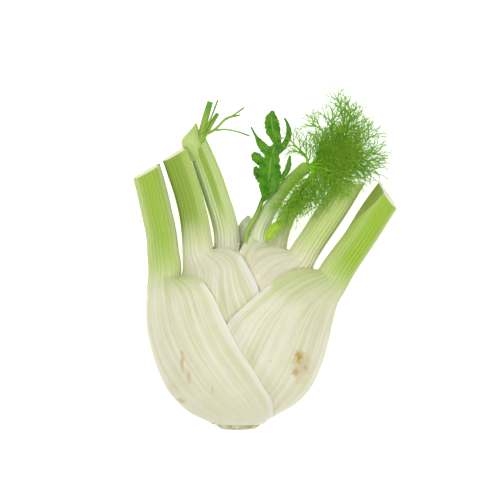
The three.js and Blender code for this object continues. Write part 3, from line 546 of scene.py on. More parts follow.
def leaf_mesh(leaf, sizes, material):
    """Sheath and stalk of a leaf as one closed skin with rounded free edges and flat cut ends."""
    split = [leaf.base, leaf.throat - DENSE_BELOW, leaf.throat, leaf.top]
    spans = zip(split, split[1:], ALONG_SHARES)
    spans = [np.linspace(low, high, int(ALONG * share), endpoint=False) for low, high, share in spans]
    heights = np.concatenate([*spans, [leaf.top]])[:, None]
    s = np.linspace(0, 1, ACROSS)[None, :]
    s_inside = mix(RIM_INSET, 1 - RIM_INSET, s)
    outside, inside, rings = leaf_rings(leaf, heights, s, s_inside, sizes)
    rows, count = rings.shape[:2]
    points = [rings.reshape(-1, 3)]
    grain_s = np.concatenate([s[0], [1], s_inside[0, ::-1], [0]])
    face_flag = np.concatenate([np.full(ACROSS + 1, OUTSIDE), np.full(ACROSS, INSIDE), [OUTSIDE]])
    rim = np.concatenate([
        edge_distance(leaf, heights, s), 0 * heights, FAR_FROM_RIM + 0 * (heights + s), 0 * heights,
    ], axis=1)
    rim = np.maximum(rim, 0) + FAR_ON_STALK * turn_of(leaf, heights, grain_s[None, :])
    maps = {
        title: [np.stack(np.broadcast_arrays(*pair), -1).reshape(-1, 2)]
        for title, pair in (
            ("grain", (grain_s + untwist(leaf, heights), (heights - leaf.throat) / GRAIN_LENGTH)),
            ("zone", (rim / RIM_LENGTH, face_flag)),
        )
    }
    faces = tube_faces(rows, count)
    for row, is_top in ((0, False), (rows - 1, True)):
        faces += cut_faces(row * count, count, sum(map(len, points)), is_top)
        for k in range(1, CUT_RINGS):
            t = k / CUT_RINGS
            points.append(mix(outside[row], inside[row], t))
            maps["grain"].append(np.stack([s[0], np.full(ACROSS, t)], -1))
            maps["zone"].append(np.tile([FAR_ON_CUTS, TOP_CUT if is_top else ROOT_CUT], (ACROSS, 1)))
    points = np.concatenate(points)
    maps = {title: np.concatenate(parts) for title, parts in maps.items()}
    return add_mesh(leaf.node + "_skin", points, faces, maps, material)


def curve_points(rows, count):
    """Points, tangents and the further columns along a smooth path through rows of [x, y, z, ...]."""
    rows = np.array(rows, dtype=float)
    gaps = np.sqrt(np.linalg.norm(np.diff(rows[:, :3], axis=0), axis=1))
    knots = np.concatenate([[0], np.cumsum(gaps)])
    path = Track(np.column_stack([knots, rows]))
    at = np.linspace(0, knots[-1], count)
    points = np.stack([path(at, column) for column in (1, 2, 3)], -1)
    tangents = np.gradient(points, axis=0)
    tangents /= np.linalg.norm(tangents, axis=1, keepdims=True)
    sizes = [path(at, column) for column in range(4, rows.shape[1] + 1)]
    return points, tangents, sizes


def stem_parts(rows, rings, sides, relief=None):
    """Rings of a stem along its path, its faces with closed ends, and its map of (round, along)."""
    points, tangents, sizes = curve_points(rows, rings)
    half_width, half_depth = sizes[0], sizes[-1]
    wide = np.cross(tangents, [0, 0, 1])
    wide /= np.linalg.norm(wide, axis=1, keepdims=True)
    deep = np.cross(wide, tangents)
    angles = np.linspace(0, 2 * math.pi, sides, endpoint=False)
    t = np.linspace(0, 1, rings)[:, None]
    lift = np.zeros((rings, sides)) if relief is None else relief(angles[None, :], t)
    ring = (
        points[:, None]
        + ((half_width[:, None] + lift) * np.cos(angles))[..., None] * wide[:, None]
        + ((half_depth[:, None] + lift) * np.sin(angles))[..., None] * deep[:, None]
    )
    faces = tube_faces(rings, sides)
    ends = [points[0], points[-1]]
    last = (rings - 1) * sides
    faces += [(rings * sides, (i + 1) % sides, i) for i in range(sides)]
    faces += [(rings * sides + 1, last + i, last + (i + 1) % sides) for i in range(sides)]
    around = np.abs(angles / math.pi - 1)
    pairs = np.stack(np.broadcast_arrays(around, t), -1)
    pairs = np.concatenate([pairs.reshape(-1, 2), [[0.5, 0], [0.5, 1]]])
    return np.concatenate([ring.reshape(-1, 3), ends]), faces, pairs


def scallops(t, teeth, noise):
    """Uneven rounded notches along an edge, 0 on the outside and 1 at their bottoms."""
    place = t * teeth + noise.uniform(0, 1) + 0.25 * np.sin(2 * math.pi * (t * 1.7 + noise.uniform(0, 1)))
    deep = noise.uniform(0.3, 1, teeth + 3)[np.floor(place).astype(int)]
    return deep * (1 - np.sin(math.pi * (place % 1)) ** 0.45)


def blade_parts(rows, teeth, seed, depth=0.3, rings=90, columns=17):
    """A scalloped, folded and waved blade with two faces and a closed edge."""
    points, tangents, (half,) = curve_points(rows, rings)
    wide = np.cross(tangents, [0, 0, 1])
    wide /= np.linalg.norm(wide, axis=1, keepdims=True)
    t = np.linspace(0, 1, rings)
    u = np.linspace(-1, 1, columns)
    noise = np.random.default_rng(seed)
    jag = [1 - depth * scallops(t, teeth, noise) for _ in range(2)]
    reach = np.where(u[None, :] < 0, jag[0][:, None], jag[1][:, None]) * half[:, None]
    side = reach * u[None, :]
    midrib = -MIDRIB * np.exp(-((u / MIDRIB_WIDTH) ** 2))
    ripple = RIPPLE * np.sin(t[:, None] * teeth * 2 * math.pi + 4 * np.abs(u)) * np.abs(u)
    wave = WAVE * half[:, None] * u * np.sin(7 * t + 1)[:, None]
    rise = FOLD * half[:, None] * np.abs(u) + wave + ripple + midrib
    sheet = points[:, None] + side[..., None] * wide[:, None]
    top, under = sheet.copy(), sheet.copy()
    body = BLADE_THICK / 2 * np.sqrt(1.02 - np.abs(u) ** 3)
    top[..., 2] += rise + body
    under[..., 2] += rise - body
    ring = np.concatenate([top, under[:, ::-1]], axis=1)
    count = 2 * columns
    faces = tube_faces(rings, count)
    faces.append(tuple(range(count))[::-1])
    faces.append(tuple(range((rings - 1) * count, rings * count)))
    pair_u = np.concatenate([u, u[::-1]])
    pairs = np.stack([pair_u + 0 * t[:, None], t[:, None] + 0 * pair_u], -1).reshape(-1, 2)
    return ring.reshape(-1, 3), faces, pairs


def gathered(name, parts, material):
    """One object from several parts of (points, faces, map)."""
    points, faces, pairs = [], [], []
    start = 0
    for part_points, part_faces, part_pairs in parts:
        points.append(part_points)
        faces += [tuple(int(i) + start for i in face) for face in part_faces]
        pairs.append(part_pairs)
        start += len(part_points)
    return add_mesh(name, np.concatenate(points), faces, {"grain": np.concatenate(pairs)}, material)


def linear(hex_colour):
    """Linear colour with alpha from an sRGB hex string."""
    parts = [int(hex_colour[i:i + 2], 16) / 255 for i in (1, 3, 5)]
    return tuple(c / 12.92 if c <= 0.04045 else ((c + 0.055) / 1.055) ** 2.4 for c in parts) + (1.0,)


# Settings that several nodes share
SMOOTHLY = {"interpolation_type": "SMOOTHSTEP"}  # Map Range: 0 to 1 as a value goes from one limit to the other
AS_COLOUR = {"data_type": "RGBA"}  # Mix: from its first colour to its second
AT_POINTS = {"data_type": "FLOAT", "domain": "POINT"}  # Store Named Attribute: a number for each point


def add(tree, kind, *values, inputs=None, output=0, **settings):
    """Adds a node with its settings and gives back one of its outputs, by place or name. The values go to the
    sockets in use, in order, and inputs holds others by name. A value may be the output of another node."""
    made = tree.nodes.new(kind)
    for title, value in settings.items():
        setattr(made, title, value)
    sockets = [socket for socket in made.inputs if socket.enabled]
    by_name = {socket.name: socket for socket in sockets}
    named = [(by_name[title], value) for title, value in (inputs or {}).items()]
    for socket, value in [*zip(sockets, values), *named]:
        if isinstance(value, bpy.types.NodeSocket):
            tree.links.new(value, socket)
        else:
            socket.default_value = value
    outputs = {socket.name: socket for socket in made.outputs if socket.enabled}
    if output in outputs:
        return outputs[output]
    return list(outputs.values())[output] if outputs else made


def new_material(name, specular, flesh=0.0, tints=(1, 1, 1), depth=0.0, ior=1.42, roughness=0.5):
    """A material, its tree and its shader. flesh is the share of light that goes through the flesh, up to depth
    millimetres, and tints says how much of that way each colour goes."""
    made = bpy.data.materials.new(name)
    made.use_nodes = True
    surface = made.node_tree.nodes["Principled BSDF"]
    values = {
        "Roughness": roughness, "IOR": ior, "Specular IOR Level": specular, "Subsurface Weight": flesh,
        "Subsurface Radius": tints, "Subsurface Scale": depth * MM,
    }
    for title, value in values.items():
        surface.inputs[title].default_value = value
    return made, made.node_tree, surface


def finish_skin(tree, surface, colour, height=None, strength=0.4, depth=0.3):
    """Links the skin's colour, and its fine relief with the strength of its shading and depth in millimetres."""
    tree.links.new(colour, surface.inputs["Base Color"])
    if height is not None:
        bump = {"Strength": strength, "Distance": depth * MM, "Height": height}
        tree.links.new(add(tree, "ShaderNodeBump", inputs=bump), surface.inputs["Normal"])


def pair_from(tree, uv_map):
    """The two numbers that a UV map gives each point."""
    outputs = add(tree, "ShaderNodeSeparateXYZ", add(tree, "ShaderNodeUVMap", uv_map=uv_map)).node.outputs
    return outputs[0], outputs[1]


def patches(tree, size, detail=3.0):
    """Noise whose patches measure size millimetres."""
    return add(tree, "ShaderNodeTexNoise", inputs={
        "Vector": add(tree, "ShaderNodeTexCoord", output="Object"),
        "Scale": 1 / (size * MM), "Detail": detail, "Roughness": 0.55,
    })


def streaks(tree, across, along, count, wander, seed):
    """Uneven lines along a leaf, count of them round it."""
    place = add(
        tree, "ShaderNodeCombineXYZ",
        add(tree, "ShaderNodeMath", across, count, operation="MULTIPLY"),
        add(tree, "ShaderNodeMath", along, wander, operation="MULTIPLY"),
        seed,
    )
    return add(tree, "ShaderNodeTexNoise", inputs={"Vector": place, "Scale": 1.0, "Detail": 2.0, "Roughness": 0.6})


def painted(tree, colour, layers):
    """A colour with layers over it, each given as (where it is, how strong it is, its colour)."""
    for where, strength, layer in layers:
        share = add(tree, "ShaderNodeMath", where, strength, operation="MULTIPLY")
        colour = add(tree, "ShaderNodeMix", share, colour, layer, **AS_COLOUR)
    return colour


def spot(tree, centre, radius, squeeze):
    """1 at a place on the object, given in millimetres, falling unevenly to 0 round it. The noise adds up to 1.6 radii
    to the distance, about 0.8 on average."""
    moved = add(
        tree, "ShaderNodeMapping", add(tree, "ShaderNodeTexCoord", output="Object"), [-c * MM for c in centre]
    )
    squeezed = add(tree, "ShaderNodeVectorMath", moved, squeeze, operation="MULTIPLY")
    far = add(tree, "ShaderNodeVectorMath", squeezed, operation="LENGTH")
    ragged = patches(tree, radius * 0.5, 4.0)
    uneven = add(tree, "ShaderNodeMath", ragged, radius * MM * 1.6, far, operation="MULTIPLY_ADD")
    return add(tree, "ShaderNodeMapRange", uneven, radius * MM * 1.9, radius * MM * 0.9, **SMOOTHLY)


# Marks on the outer sheaths: place, then radius and how far each axis is squeezed, then strength
BROWN_MARKS = [
    ((30.5, -18.5, 53), (3, (1, 0.7, 0.4)), 0.85),
    ((28.5, -26, 50), (2.2, (0.9, 0.8, 0.4)), 0.7),
    ((34, -24, 49), (1.4, (1, 0.8, 0.4)), 0.6),
    ((31.5, -22.5, 51), (7.5, (1.1, 0.7, 0.4)), 0.32),
    ((15.6, -20.3, 59), (1, (1, 1, 0.4)), 0.7),
    ((-29.5, -20, 52), (3.6, (2.6, 0.5, 0.4)), 0.5),
    ((-26, -28, 52), (3.4, (2.4, 0.6, 0.4)), 0.35),
    ((-37.5, -18.7, 45), (0.9, (1, 1, 0.4)), 0.7),
    ((-31, -41.5, 40), (3.4, (0.7, 1.4, 0.5)), 0.55),
    ((-34, -34, 40), (5.5, (1, 1, 0.5)), 0.22),
    ((-14, -35, 54), (2.2, (2.2, 0.6, 0.4)), 0.3),
    ((-12, -54.3, 32), (3.8, (0.5, 1.7, 0.4)), 1),
    ((-2.2, 39.8, 41), (2.2, (1, 1, 0.4)), 0.8),
]

# Where the green of each slot's stalk begins and is full, in units of 100 mm from the throat
GREENING = {
    "sheath_left": (-0.13, 0.11),
    "sheath_right": (-0.16, 0.1),
    "sheath_second": (-0.05, 0.22),
    "sheath_third": (-0.02, 0.26),
    "sheath_beige": (-0.05, 0.16),
    "sheath_inner": (-0.05, 0.16),
}

# Bands of colour along the stalks, for each slot: middle and half width round the leaf, where the band begins
# and is full along the leaf, strength, colour. Most are the stalks' own colour; some are painted shade or a painted
# highlight, as marked
STALK_BANDS = {
    "sheath_left": [
        # The pale band at 0.41 is partly the stalk's pale green and partly a painted highlight on its outward side
        (0.2, 0.14, -0.04, 0.2, 0.8, "#9FC23E"), (0.41, 0.07, 0.05, 0.3, 0.55, "#D0DF9C"),
        (0.02, 0.03, 0, 0.1, 0.6, "#D6E2AC"),
    ],
    "sheath_right": [
        (0.27, 0.15, -0.08, 0.12, 0.95, "#9FC334"), (0.48, 0.07, 0, 0.15, 0.6, "#D6E2A8"),
        (0.06, 0.06, 0.02, 0.2, 0.6, "#A9C44A"),
    ],
    "sheath_second": [
        # The dark olive band at 0.47 is painted shade along the stalk's shaded outward side
        (0.28, 0.19, 0, 0.2, 0.9, "#8BAB34"), (0.47, 0.08, -0.02, 0.12, 0.9, "#73852B"),
        (0.05, 0.08, 0, 0.2, 0.4, "#BFD474"),
    ],
    "sheath_third": [
        # The dark green band at 0.46 is painted shade in the groove between this stalk and the second
        (0.46, 0.1, 0, 0.1, 0.8, "#6F8F2C"), (0.2, 0.04, 0.05, 0.3, 0.8, "#8FB33C"),
        (0.32, 0.05, 0.02, 0.2, 0.6, "#DDE7BE"), (0.08, 0.05, 0.02, 0.2, 0.5, "#D5E2AE"),
    ],
    "sheath_beige": [
        (0.45, 0.06, 0, 0.08, 0.6, "#A89A55"), (0.1, 0.05, 0.05, 0.3, 0.5, "#A3BC50"),
        (0.23, 0.1, 0, 0.2, 0.6, "#C5D67C"),
    ],
    "sheath_inner": [(0.2, 0.1, 0, 0.1, 0.6, "#93A94C")],
}


def sheath_skin(name, colours, slot, white, shade):
    """Fennel leaf: a waxy, water-filled sheath that lets light in and turns into a ribbed green stalk."""
    made, tree, surface = new_material(name, specular=0.35, flesh=0.2, tints=(1.0, 0.95, 0.6), depth=2)
    across, along = pair_from(tree, "grain")
    rim, part = pair_from(tree, "zone")

    # Lines along the leaf: broad ones about 4 mm wide and fine ones about 1 mm wide
    seed = float(len(slot))
    broad = add(tree, "ShaderNodeMapRange", streaks(tree, across, along, 34, 1.6, seed), 0.36, 0.66, **SMOOTHLY)
    lines = streaks(tree, across, along, 130, 1.2, seed + 5)
    fine = add(tree, "ShaderNodeMapRange", lines, 0.5, 0.6, **SMOOTHLY)
    # Pale lines: partly whitish veins, partly a painted highlight along the ribs
    pale_vein_highlights = add(tree, "ShaderNodeMapRange", lines, 0.47, 0.38, **SMOOTHLY)

    # Where the leaf's regions lie: each is 0 up to the first value of a number and 1 from the second
    # The cloudy patches are lighter, a painted highlight on the waxy skin
    limits = {
        "upper": (along, -0.75, -0.15), "highlight_clouds": (patches(tree, 24), 0.36, 0.66), "top": (along, 0.08, 0.6),
        "grooved": (along, -0.02, 0.1), "inside": (part, OUTSIDE + 0.5, INSIDE - 0.1), "free edge": (rim, 0.42, 0.05),
        "fibres": (patches(tree, 0.9, 2.0), 0.45, 0.62), "root cut": (part, TOP_CUT + 0.2, ROOT_CUT - 0.2),
        "cut": (part, INSIDE + 0.6, TOP_CUT - 0.6),
    }
    there = {region: add(tree, "ShaderNodeMapRange", *limit, **SMOOTHLY) for region, limit in limits.items()}

    # The sheath: veined towards its top and plainer towards the root. Its darker lines are partly the veins' own
    # colour and partly painted shade between the ribs, its pale lines partly whitish veins and partly a painted
    # highlight on the ribs, and its lighter cloudy patches are painted highlights
    broad_share = add(tree, "ShaderNodeMath", there["upper"], 0.45, 0.15, operation="MULTIPLY_ADD")
    fine_share = add(tree, "ShaderNodeMath", there["upper"], 0.2, 0.1, operation="MULTIPLY_ADD")
    sheath = painted(tree, white, [
        (broad, broad_share, shade), (there["highlight_clouds"], 0.45, linear("#ECECDD")),
        (fine, fine_share, shade), (pale_vein_highlights, 0.4, linear("#F1F1E2")),
    ])

    # The stalk: greener towards its cut, with bands of light and dark green, some of them painted shade or a painted
    # highlight
    stalk = painted(tree, colours.stalk_foot, [
        (there["top"], 1.0, colours.stalk_top), (fine, 0.3, colours.stalk_rib), (broad, 0.18, linear("#D3DFA2")),
    ])
    for middle, half, start, full, strength, colour in STALK_BANDS[slot]:
        off = add(tree, "ShaderNodeMath", across, middle, operation="SUBTRACT")
        off = add(tree, "ShaderNodeMath", off, operation="ABSOLUTE")
        uneven = add(tree, "ShaderNodeMath", fine, half * 0.35, off, operation="MULTIPLY_ADD")
        band = add(tree, "ShaderNodeMapRange", uneven, half * 1.5, half * 0.5, **SMOOTHLY)
        begun = add(tree, "ShaderNodeMapRange", along, start, full, **SMOOTHLY)
        inside = add(tree, "ShaderNodeMath", band, begun, operation="MULTIPLY")
        stalk = painted(tree, stalk, [(inside, strength, linear(colour))])
    uneven_foot = add(tree, "ShaderNodeMath", broad, 0.07, along, operation="MULTIPLY_ADD")
    green = add(tree, "ShaderNodeMapRange", uneven_foot, *GREENING[slot], **SMOOTHLY)

    # On both: the stalk's grooved inner face, olive partly for its own colour and partly as painted shade, a painted
    # highlight along the free edges, the brown marks, and the cut ends of wet flesh with fibres, brownish at the root
    # Olive on the stalk's grooved inner face: partly its own greener colour, partly painted shade in the groove
    inner_face_olive_and_shade = add(tree, "ShaderNodeMath", there["inside"], there["grooved"], operation="MULTIPLY")
    flesh = painted(tree, linear("#E4E6C6"), [
        (there["fibres"], 0.35, linear("#C6D292")), (there["root cut"], 1.0, linear("#C9B98A")),
    ])
    marks = [(spot(tree, centre, *size), strength, colours.bruise) for centre, size, strength in BROWN_MARKS]
    body = painted(tree, sheath, [
        # The pale colour along the free edges is a painted highlight
        (green, 1.0, stalk), (inner_face_olive_and_shade, 0.75, linear("#90A23F")), (there["free edge"], 0.75, linear("#EFEFE2")),
        *marks, (there["cut"], 1.0, flesh),
    ])

    gloss = add(tree, "ShaderNodeMath", patches(tree, 7), 0.2, 0.34, operation="MULTIPLY_ADD")
    tree.links.new(gloss, surface.inputs["Roughness"])
    pores = add(tree, "ShaderNodeMath", patches(tree, 1.4), 0.4, operation="MULTIPLY")
    relief = add(tree, "ShaderNodeMath", fine, 0.5, pores, operation="MULTIPLY_ADD")
    finish_skin(tree, surface, body, relief, depth=0.4)
    return made


def stem_skin(name, pale, green, roughness=0.38):
    """Young stalk: smooth and juicy, pale where it comes out of the bulb and greener further up."""
    made, tree, surface = new_material(name, 0.3, flesh=0.2, tints=(0.9, 1.0, 0.4), depth=2, roughness=roughness)
    around, along = pair_from(tree, "grain")
    wave = add(tree, "ShaderNodeMath", around, STEM_LINES * 2 * math.pi, operation="MULTIPLY")
    wave = add(tree, "ShaderNodeMath", wave, operation="SINE")
    ribs = add(tree, "ShaderNodeMath", wave, 0.5, 0.5, operation="MULTIPLY_ADD")
    uneven = add(tree, "ShaderNodeMath", patches(tree, 9), 0.12, along, operation="MULTIPLY_ADD")
    rise = add(tree, "ShaderNodeMapRange", uneven, 0.5, 0.98, **SMOOTHLY)
    colour = painted(tree, pale, [(rise, 1.0, green), (ribs, 0.25, green)])
    pores = add(tree, "ShaderNodeMath", patches(tree, 1.2), 0.5, operation="MULTIPLY")
    relief = add(tree, "ShaderNodeMath", ribs, 0.6, pores, operation="MULTIPLY_ADD")
    finish_skin(tree, surface, colour, relief)
    return made


def blade_skin(name, dark, light, vein_colour, roughness, foot=None):
    """Leaf blade: thin, with pale veins that run out from the midrib to the teeth. foot, where given, is the y
    at which its stem is pale, the y at which it has the blade's colour, and the pale colour."""
    made, tree, surface = new_material(
        name, 0.16, flesh=0.1, tints=(0.9, 1.0, 0.3), depth=1, ior=1.45, roughness=roughness
    )
    across, along = pair_from(tree, "grain")
    from_midrib = add(tree, "ShaderNodeMath", across, operation="ABSOLUTE")
    slant = add(tree, "ShaderNodeMath", from_midrib, -0.12, along, operation="MULTIPLY_ADD")
    wave = add(tree, "ShaderNodeMath", slant, SIDE_VEINS * 2 * math.pi, operation="MULTIPLY")
    wave = add(tree, "ShaderNodeMath", wave, operation="SINE")
    side_veins = add(tree, "ShaderNodeMapRange", wave, 0.82, 1.0, **SMOOTHLY)
    side_veins = add(tree, "ShaderNodeMath", side_veins, 0.35, operation="MULTIPLY")
    midrib = add(tree, "ShaderNodeMapRange", from_midrib, 0.13, 0.03, **SMOOTHLY)
    veins = add(tree, "ShaderNodeMath", side_veins, midrib, operation="MAXIMUM")
    mottled = add(tree, "ShaderNodeMapRange", patches(tree, 4), 0.35, 0.65, **SMOOTHLY)
    colour = painted(tree, dark, [(mottled, 1.0, light), (veins, 0.7, vein_colour)])
    if foot:
        low, high, pale = foot
        place = add(tree, "ShaderNodeSeparateXYZ", add(tree, "ShaderNodeTexCoord", output="Object"), output="Y")
        down = add(tree, "ShaderNodeMapRange", place, high * MM, low * MM, **SMOOTHLY)
        colour = painted(tree, colour, [(down, 1.0, pale)])
    finish_skin(tree, surface, colour, veins, strength=0.5, depth=0.2)
    return made


def thread_skin(name, colours):
    """Frond threads: soft green, each one a little lighter or darker than the next."""
    made, tree, surface = new_material(name, 0.12, flesh=0.15, tints=(0.9, 1.0, 0.3), depth=0.6)
    tint = add(tree, "ShaderNodeAttribute", attribute_name="tint", output="Fac")
    tip = add(tree, "ShaderNodeAttribute", attribute_name="tip", output="Fac")
    # Darker patches through the frond: painted shade where the threads lie deep in the mass
    deep_shade_patches = add(tree, "ShaderNodeMapRange", patches(tree, 9), 0.48, 0.66, **SMOOTHLY)
    colour = painted(tree, colours.frond_dark, [
        (tint, 1.0, colours.frond), (tip, 0.5, colours.frond_light), (deep_shade_patches, 0.5, colours.frond_dark),
    ])
    finish_skin(tree, surface, colour)
    return made


def plain_skin(name, colour, shade, patch, roughness):
    """Matt plant skin with soft patches, patch millimetres wide."""
    made, tree, surface = new_material(
        name, 0.5, flesh=0.15, tints=(1.0, 0.9, 0.5), depth=1.5, roughness=roughness
    )
    patchy = add(tree, "ShaderNodeMapRange", patches(tree, patch), 0.38, 0.64, **SMOOTHLY)
    colour = painted(tree, colour, [(patchy, 1.0, shade)])
    finish_skin(tree, surface, colour, patches(tree, 1.5), strength=0.5, depth=0.4)
    return made


# How the frond grows
ORDERS = (  # each order's name, how far it turns away from its parent, where it begins on it, and its seed
    ("Side stem", 0.6, 0.12, 0.0), ("Twig", 0.5, 0.1, 3.0), ("Thread", 0.4, 0.1, 5.0),
)
TUBES = (  # thickness in threads, taper and sides of the branches and of each order
    (4.0, 0.6, 8), (2.0, 0.5, 4), (1.25, 0.3, 3), (1.0, 0.3, 3),
)
FOOT_LENGTH = 1.06  # share of the full length that a side curve has at the foot of its parent
SHORTER = 0.62  # how much of that is lost towards the parent's tip
BEND = (0.05, 0.08, 0.5)  # middle control point of a side curve that runs from 0 to 1 along Z
CURLS = 90.0  # a metre has this many curls, so each is about 11 mm long
CURL_REACH = 0.003  # width in metres of the range over which they bend the threads


def twigs(tree, curves, spacing, length, spread, first, seed):
    """Curves that stand on other curves from a share, first, of their way on, to the left and right in turn, and
    bent a little towards the tip."""
    # How far they turn away in radians, how far they rise, and their share of the full length, with a seed for each
    ranges = ((spread * 0.6, spread * 1.3, 0.0), (-0.3, 0.5, 7.0), (0.65, 1.2, 13.0))
    angle, lift, vigour = (
        add(tree, "FunctionNodeRandomValue", low, high, data_type="FLOAT", inputs={
            "Seed": add(tree, "ShaderNodeMath", seed, shift, operation="ADD"),
        })
        for low, high, shift in ranges
    )
    factor = add(tree, "GeometryNodeSplineParameter", output="Factor")
    marked = add(
        tree, "GeometryNodeStoreNamedAttribute",
        inputs={"Geometry": curves, "Name": "along", "Value": factor}, **AT_POINTS,
    )
    points = add(tree, "GeometryNodeCurveToPoints", marked, spacing, mode="LENGTH")
    along = add(tree, "GeometryNodeInputNamedAttribute", "along", data_type="FLOAT")
    tangent = points.node.outputs["Tangent"]
    side = add(tree, "ShaderNodeVectorMath", tangent, (0, 0, 1), operation="CROSS_PRODUCT")
    side = add(tree, "ShaderNodeVectorMath", side, operation="NORMALIZE")
    index = add(tree, "GeometryNodeInputIndex")
    parity = add(tree, "ShaderNodeMath", index, 2.0, operation="MODULO")
    sign = add(tree, "ShaderNodeMath", parity, 2.0, -1.0, operation="MULTIPLY_ADD")
    cosine = add(tree, "ShaderNodeMath", angle, operation="COSINE")
    sine = add(tree, "ShaderNodeMath", angle, operation="SINE")
    sine = add(tree, "ShaderNodeMath", sine, sign, operation="MULTIPLY")
    forwards = add(tree, "ShaderNodeVectorMath", tangent, cosine, operation="SCALE")
    sideways = add(tree, "ShaderNodeVectorMath", side, sine, operation="SCALE")
    rise = add(tree, "ShaderNodeCombineXYZ", inputs={"Z": lift})
    way = add(tree, "ShaderNodeVectorMath", forwards, sideways, operation="ADD")
    way = add(tree, "ShaderNodeVectorMath", way, rise, operation="ADD")
    turned = add(tree, "FunctionNodeAlignRotationToVector", inputs={"Vector": way}, axis="Z")
    bent = add(tree, "GeometryNodeCurveQuadraticBezier", 3, (0, 0, 0), BEND, (0, 0, 1))
    shrink = add(tree, "ShaderNodeMath", along, -SHORTER, FOOT_LENGTH, operation="MULTIPLY_ADD")
    varied = add(tree, "ShaderNodeMath", shrink, vigour, operation="MULTIPLY")
    long = add(tree, "ShaderNodeMath", varied, length, operation="MULTIPLY")
    placed = add(tree, "GeometryNodeInstanceOnPoints", inputs={
        "Points": points,
        "Selection": add(tree, "FunctionNodeCompare", along, first, data_type="FLOAT", operation="GREATER_THAN"),
        "Instance": bent,
        "Rotation": turned,
        "Scale": add(tree, "ShaderNodeVectorMath", (1, 1, 1), long, operation="SCALE"),
    })
    return add(tree, "GeometryNodeRealizeInstances", placed)


def swept(tree, curves, radius, taper, sides, seed):
    """Tapered tubes along curves, each with its own tint, and with a tip value from foot to end."""
    along = add(tree, "GeometryNodeSplineParameter", output="Factor")
    slimmer = add(tree, "ShaderNodeMath", along, -taper, 1.0, operation="MULTIPLY_ADD")
    size = add(tree, "ShaderNodeMath", slimmer, radius, operation="MULTIPLY")
    tipped = add(
        tree, "GeometryNodeStoreNamedAttribute",
        inputs={"Geometry": curves, "Name": "tip", "Value": along}, **AT_POINTS,
    )
    tint = add(tree, "FunctionNodeRandomValue", 0.0, 1.0, inputs={"Seed": seed}, data_type="FLOAT")
    tinted = add(
        tree, "GeometryNodeStoreNamedAttribute",
        inputs={"Geometry": tipped, "Name": "tint", "Value": tint}, data_type="FLOAT", domain="CURVE",
    )
    return add(tree, "GeometryNodeCurveToMesh", inputs={
        "Curve": add(tree, "GeometryNodeSetCurveRadius", inputs={"Curve": tinted, "Radius": size}),
        "Profile Curve": add(
            tree, "GeometryNodeCurvePrimitiveCircle", inputs={"Resolution": sides, "Radius": 1.0}, mode="RADIUS"
        ),
        "Scale": add(tree, "GeometryNodeInputRadius"),
        "Fill Caps": True,
    })


def frond_tree(material):
    """Node tree of a feathery frond: branches, side stems, twigs on those, and threads on the twigs."""
    tree = bpy.data.node_groups.new("Feathery frond", "GeometryNodeTree")
    face = tree.interface
    face.new_socket("Geometry", in_out="INPUT", socket_type="NodeSocketGeometry")
    for title in FROND_SIZES:
        face.new_socket(title, in_out="INPUT", socket_type="NodeSocketFloat").subtype = "DISTANCE"
    face.new_socket("Seed", in_out="INPUT", socket_type="NodeSocketInt")
    face.new_socket("Geometry", in_out="OUTPUT", socket_type="NodeSocketGeometry")
    given = add(tree, "NodeGroupInput").node.outputs
    seed = given["Seed"]
    grown = [given["Geometry"]]
    for kind, spread, first, shift in ORDERS:
        own = add(tree, "ShaderNodeMath", seed, shift, operation="ADD")
        grown.append(twigs(tree, grown[-1], given[kind + " spacing"], given[kind + " length"], spread, first, own))
    half = add(tree, "ShaderNodeMath", given["Thread thickness"], 0.5, operation="MULTIPLY")
    joined = add(tree, "GeometryNodeJoinGeometry")
    for curves, (factor, taper, sides) in zip(grown, TUBES):
        radius = add(tree, "ShaderNodeMath", half, factor, operation="MULTIPLY")
        tree.links.new(swept(tree, curves, radius, taper, sides, seed), joined.node.inputs[0])
    curl = add(tree, "ShaderNodeTexNoise", inputs={"Scale": CURLS, "Detail": 1.0}, output="Color")
    curl = add(tree, "ShaderNodeVectorMath", curl, (0.5, 0.5, 0.5), operation="SUBTRACT")
    offset = add(tree, "ShaderNodeVectorMath", curl, CURL_REACH, operation="SCALE")
    bent = add(tree, "GeometryNodeSetPosition", inputs={"Geometry": joined, "Offset": offset})
    realised = add(tree, "GeometryNodeRealizeInstances", bent)
    add(tree, "NodeGroupOutput", add(
        tree, "GeometryNodeSetMaterial", inputs={"Geometry": realised, "Material": material}
    ))
    return tree


def length_property(name, description, default):
    return bpy.props.FloatProperty(name=name, description=description, default=default, min=0, unit="LENGTH")


class FennelSizes(bpy.types.PropertyGroup):
    """Sizes that a user may change."""

    sheath_vein: length_property("Sheath vein", "Height of the fine veins on the sheaths", 0.00016)
    stalk_rib: length_property("Stalk rib", "Height of the ribs on the stalks", 0.00036)
    side_stem_spacing: length_property("Side stem spacing", "Distance between side stems on a branch", 0.0021)
    side_stem_length: length_property("Side stem length", "Longest side stem of the frond", 0.0115)
    twig_spacing: length_property("Twig spacing", "Distance between twigs on a side stem", 0.0014)
    twig_length: length_property("Twig length", "Longest twig of the frond", 0.0078)
    thread_spacing: length_property("Thread spacing", "Distance between threads on a twig", 0.0021)
    thread_length: length_property("Thread length", "Longest thread of the frond", 0.0058)
    thread_thickness: length_property("Thread thickness", "Thickness of a thread at its foot", 0.00038)
    seed: bpy.props.IntProperty(name="Seed", description="Picks another growth of the frond", default=4)


def colour_property(name, description, hex_colour):
    return bpy.props.FloatVectorProperty(
        name=name, description=description, default=linear(hex_colour), size=4, min=0, max=1, subtype="COLOR"
    )


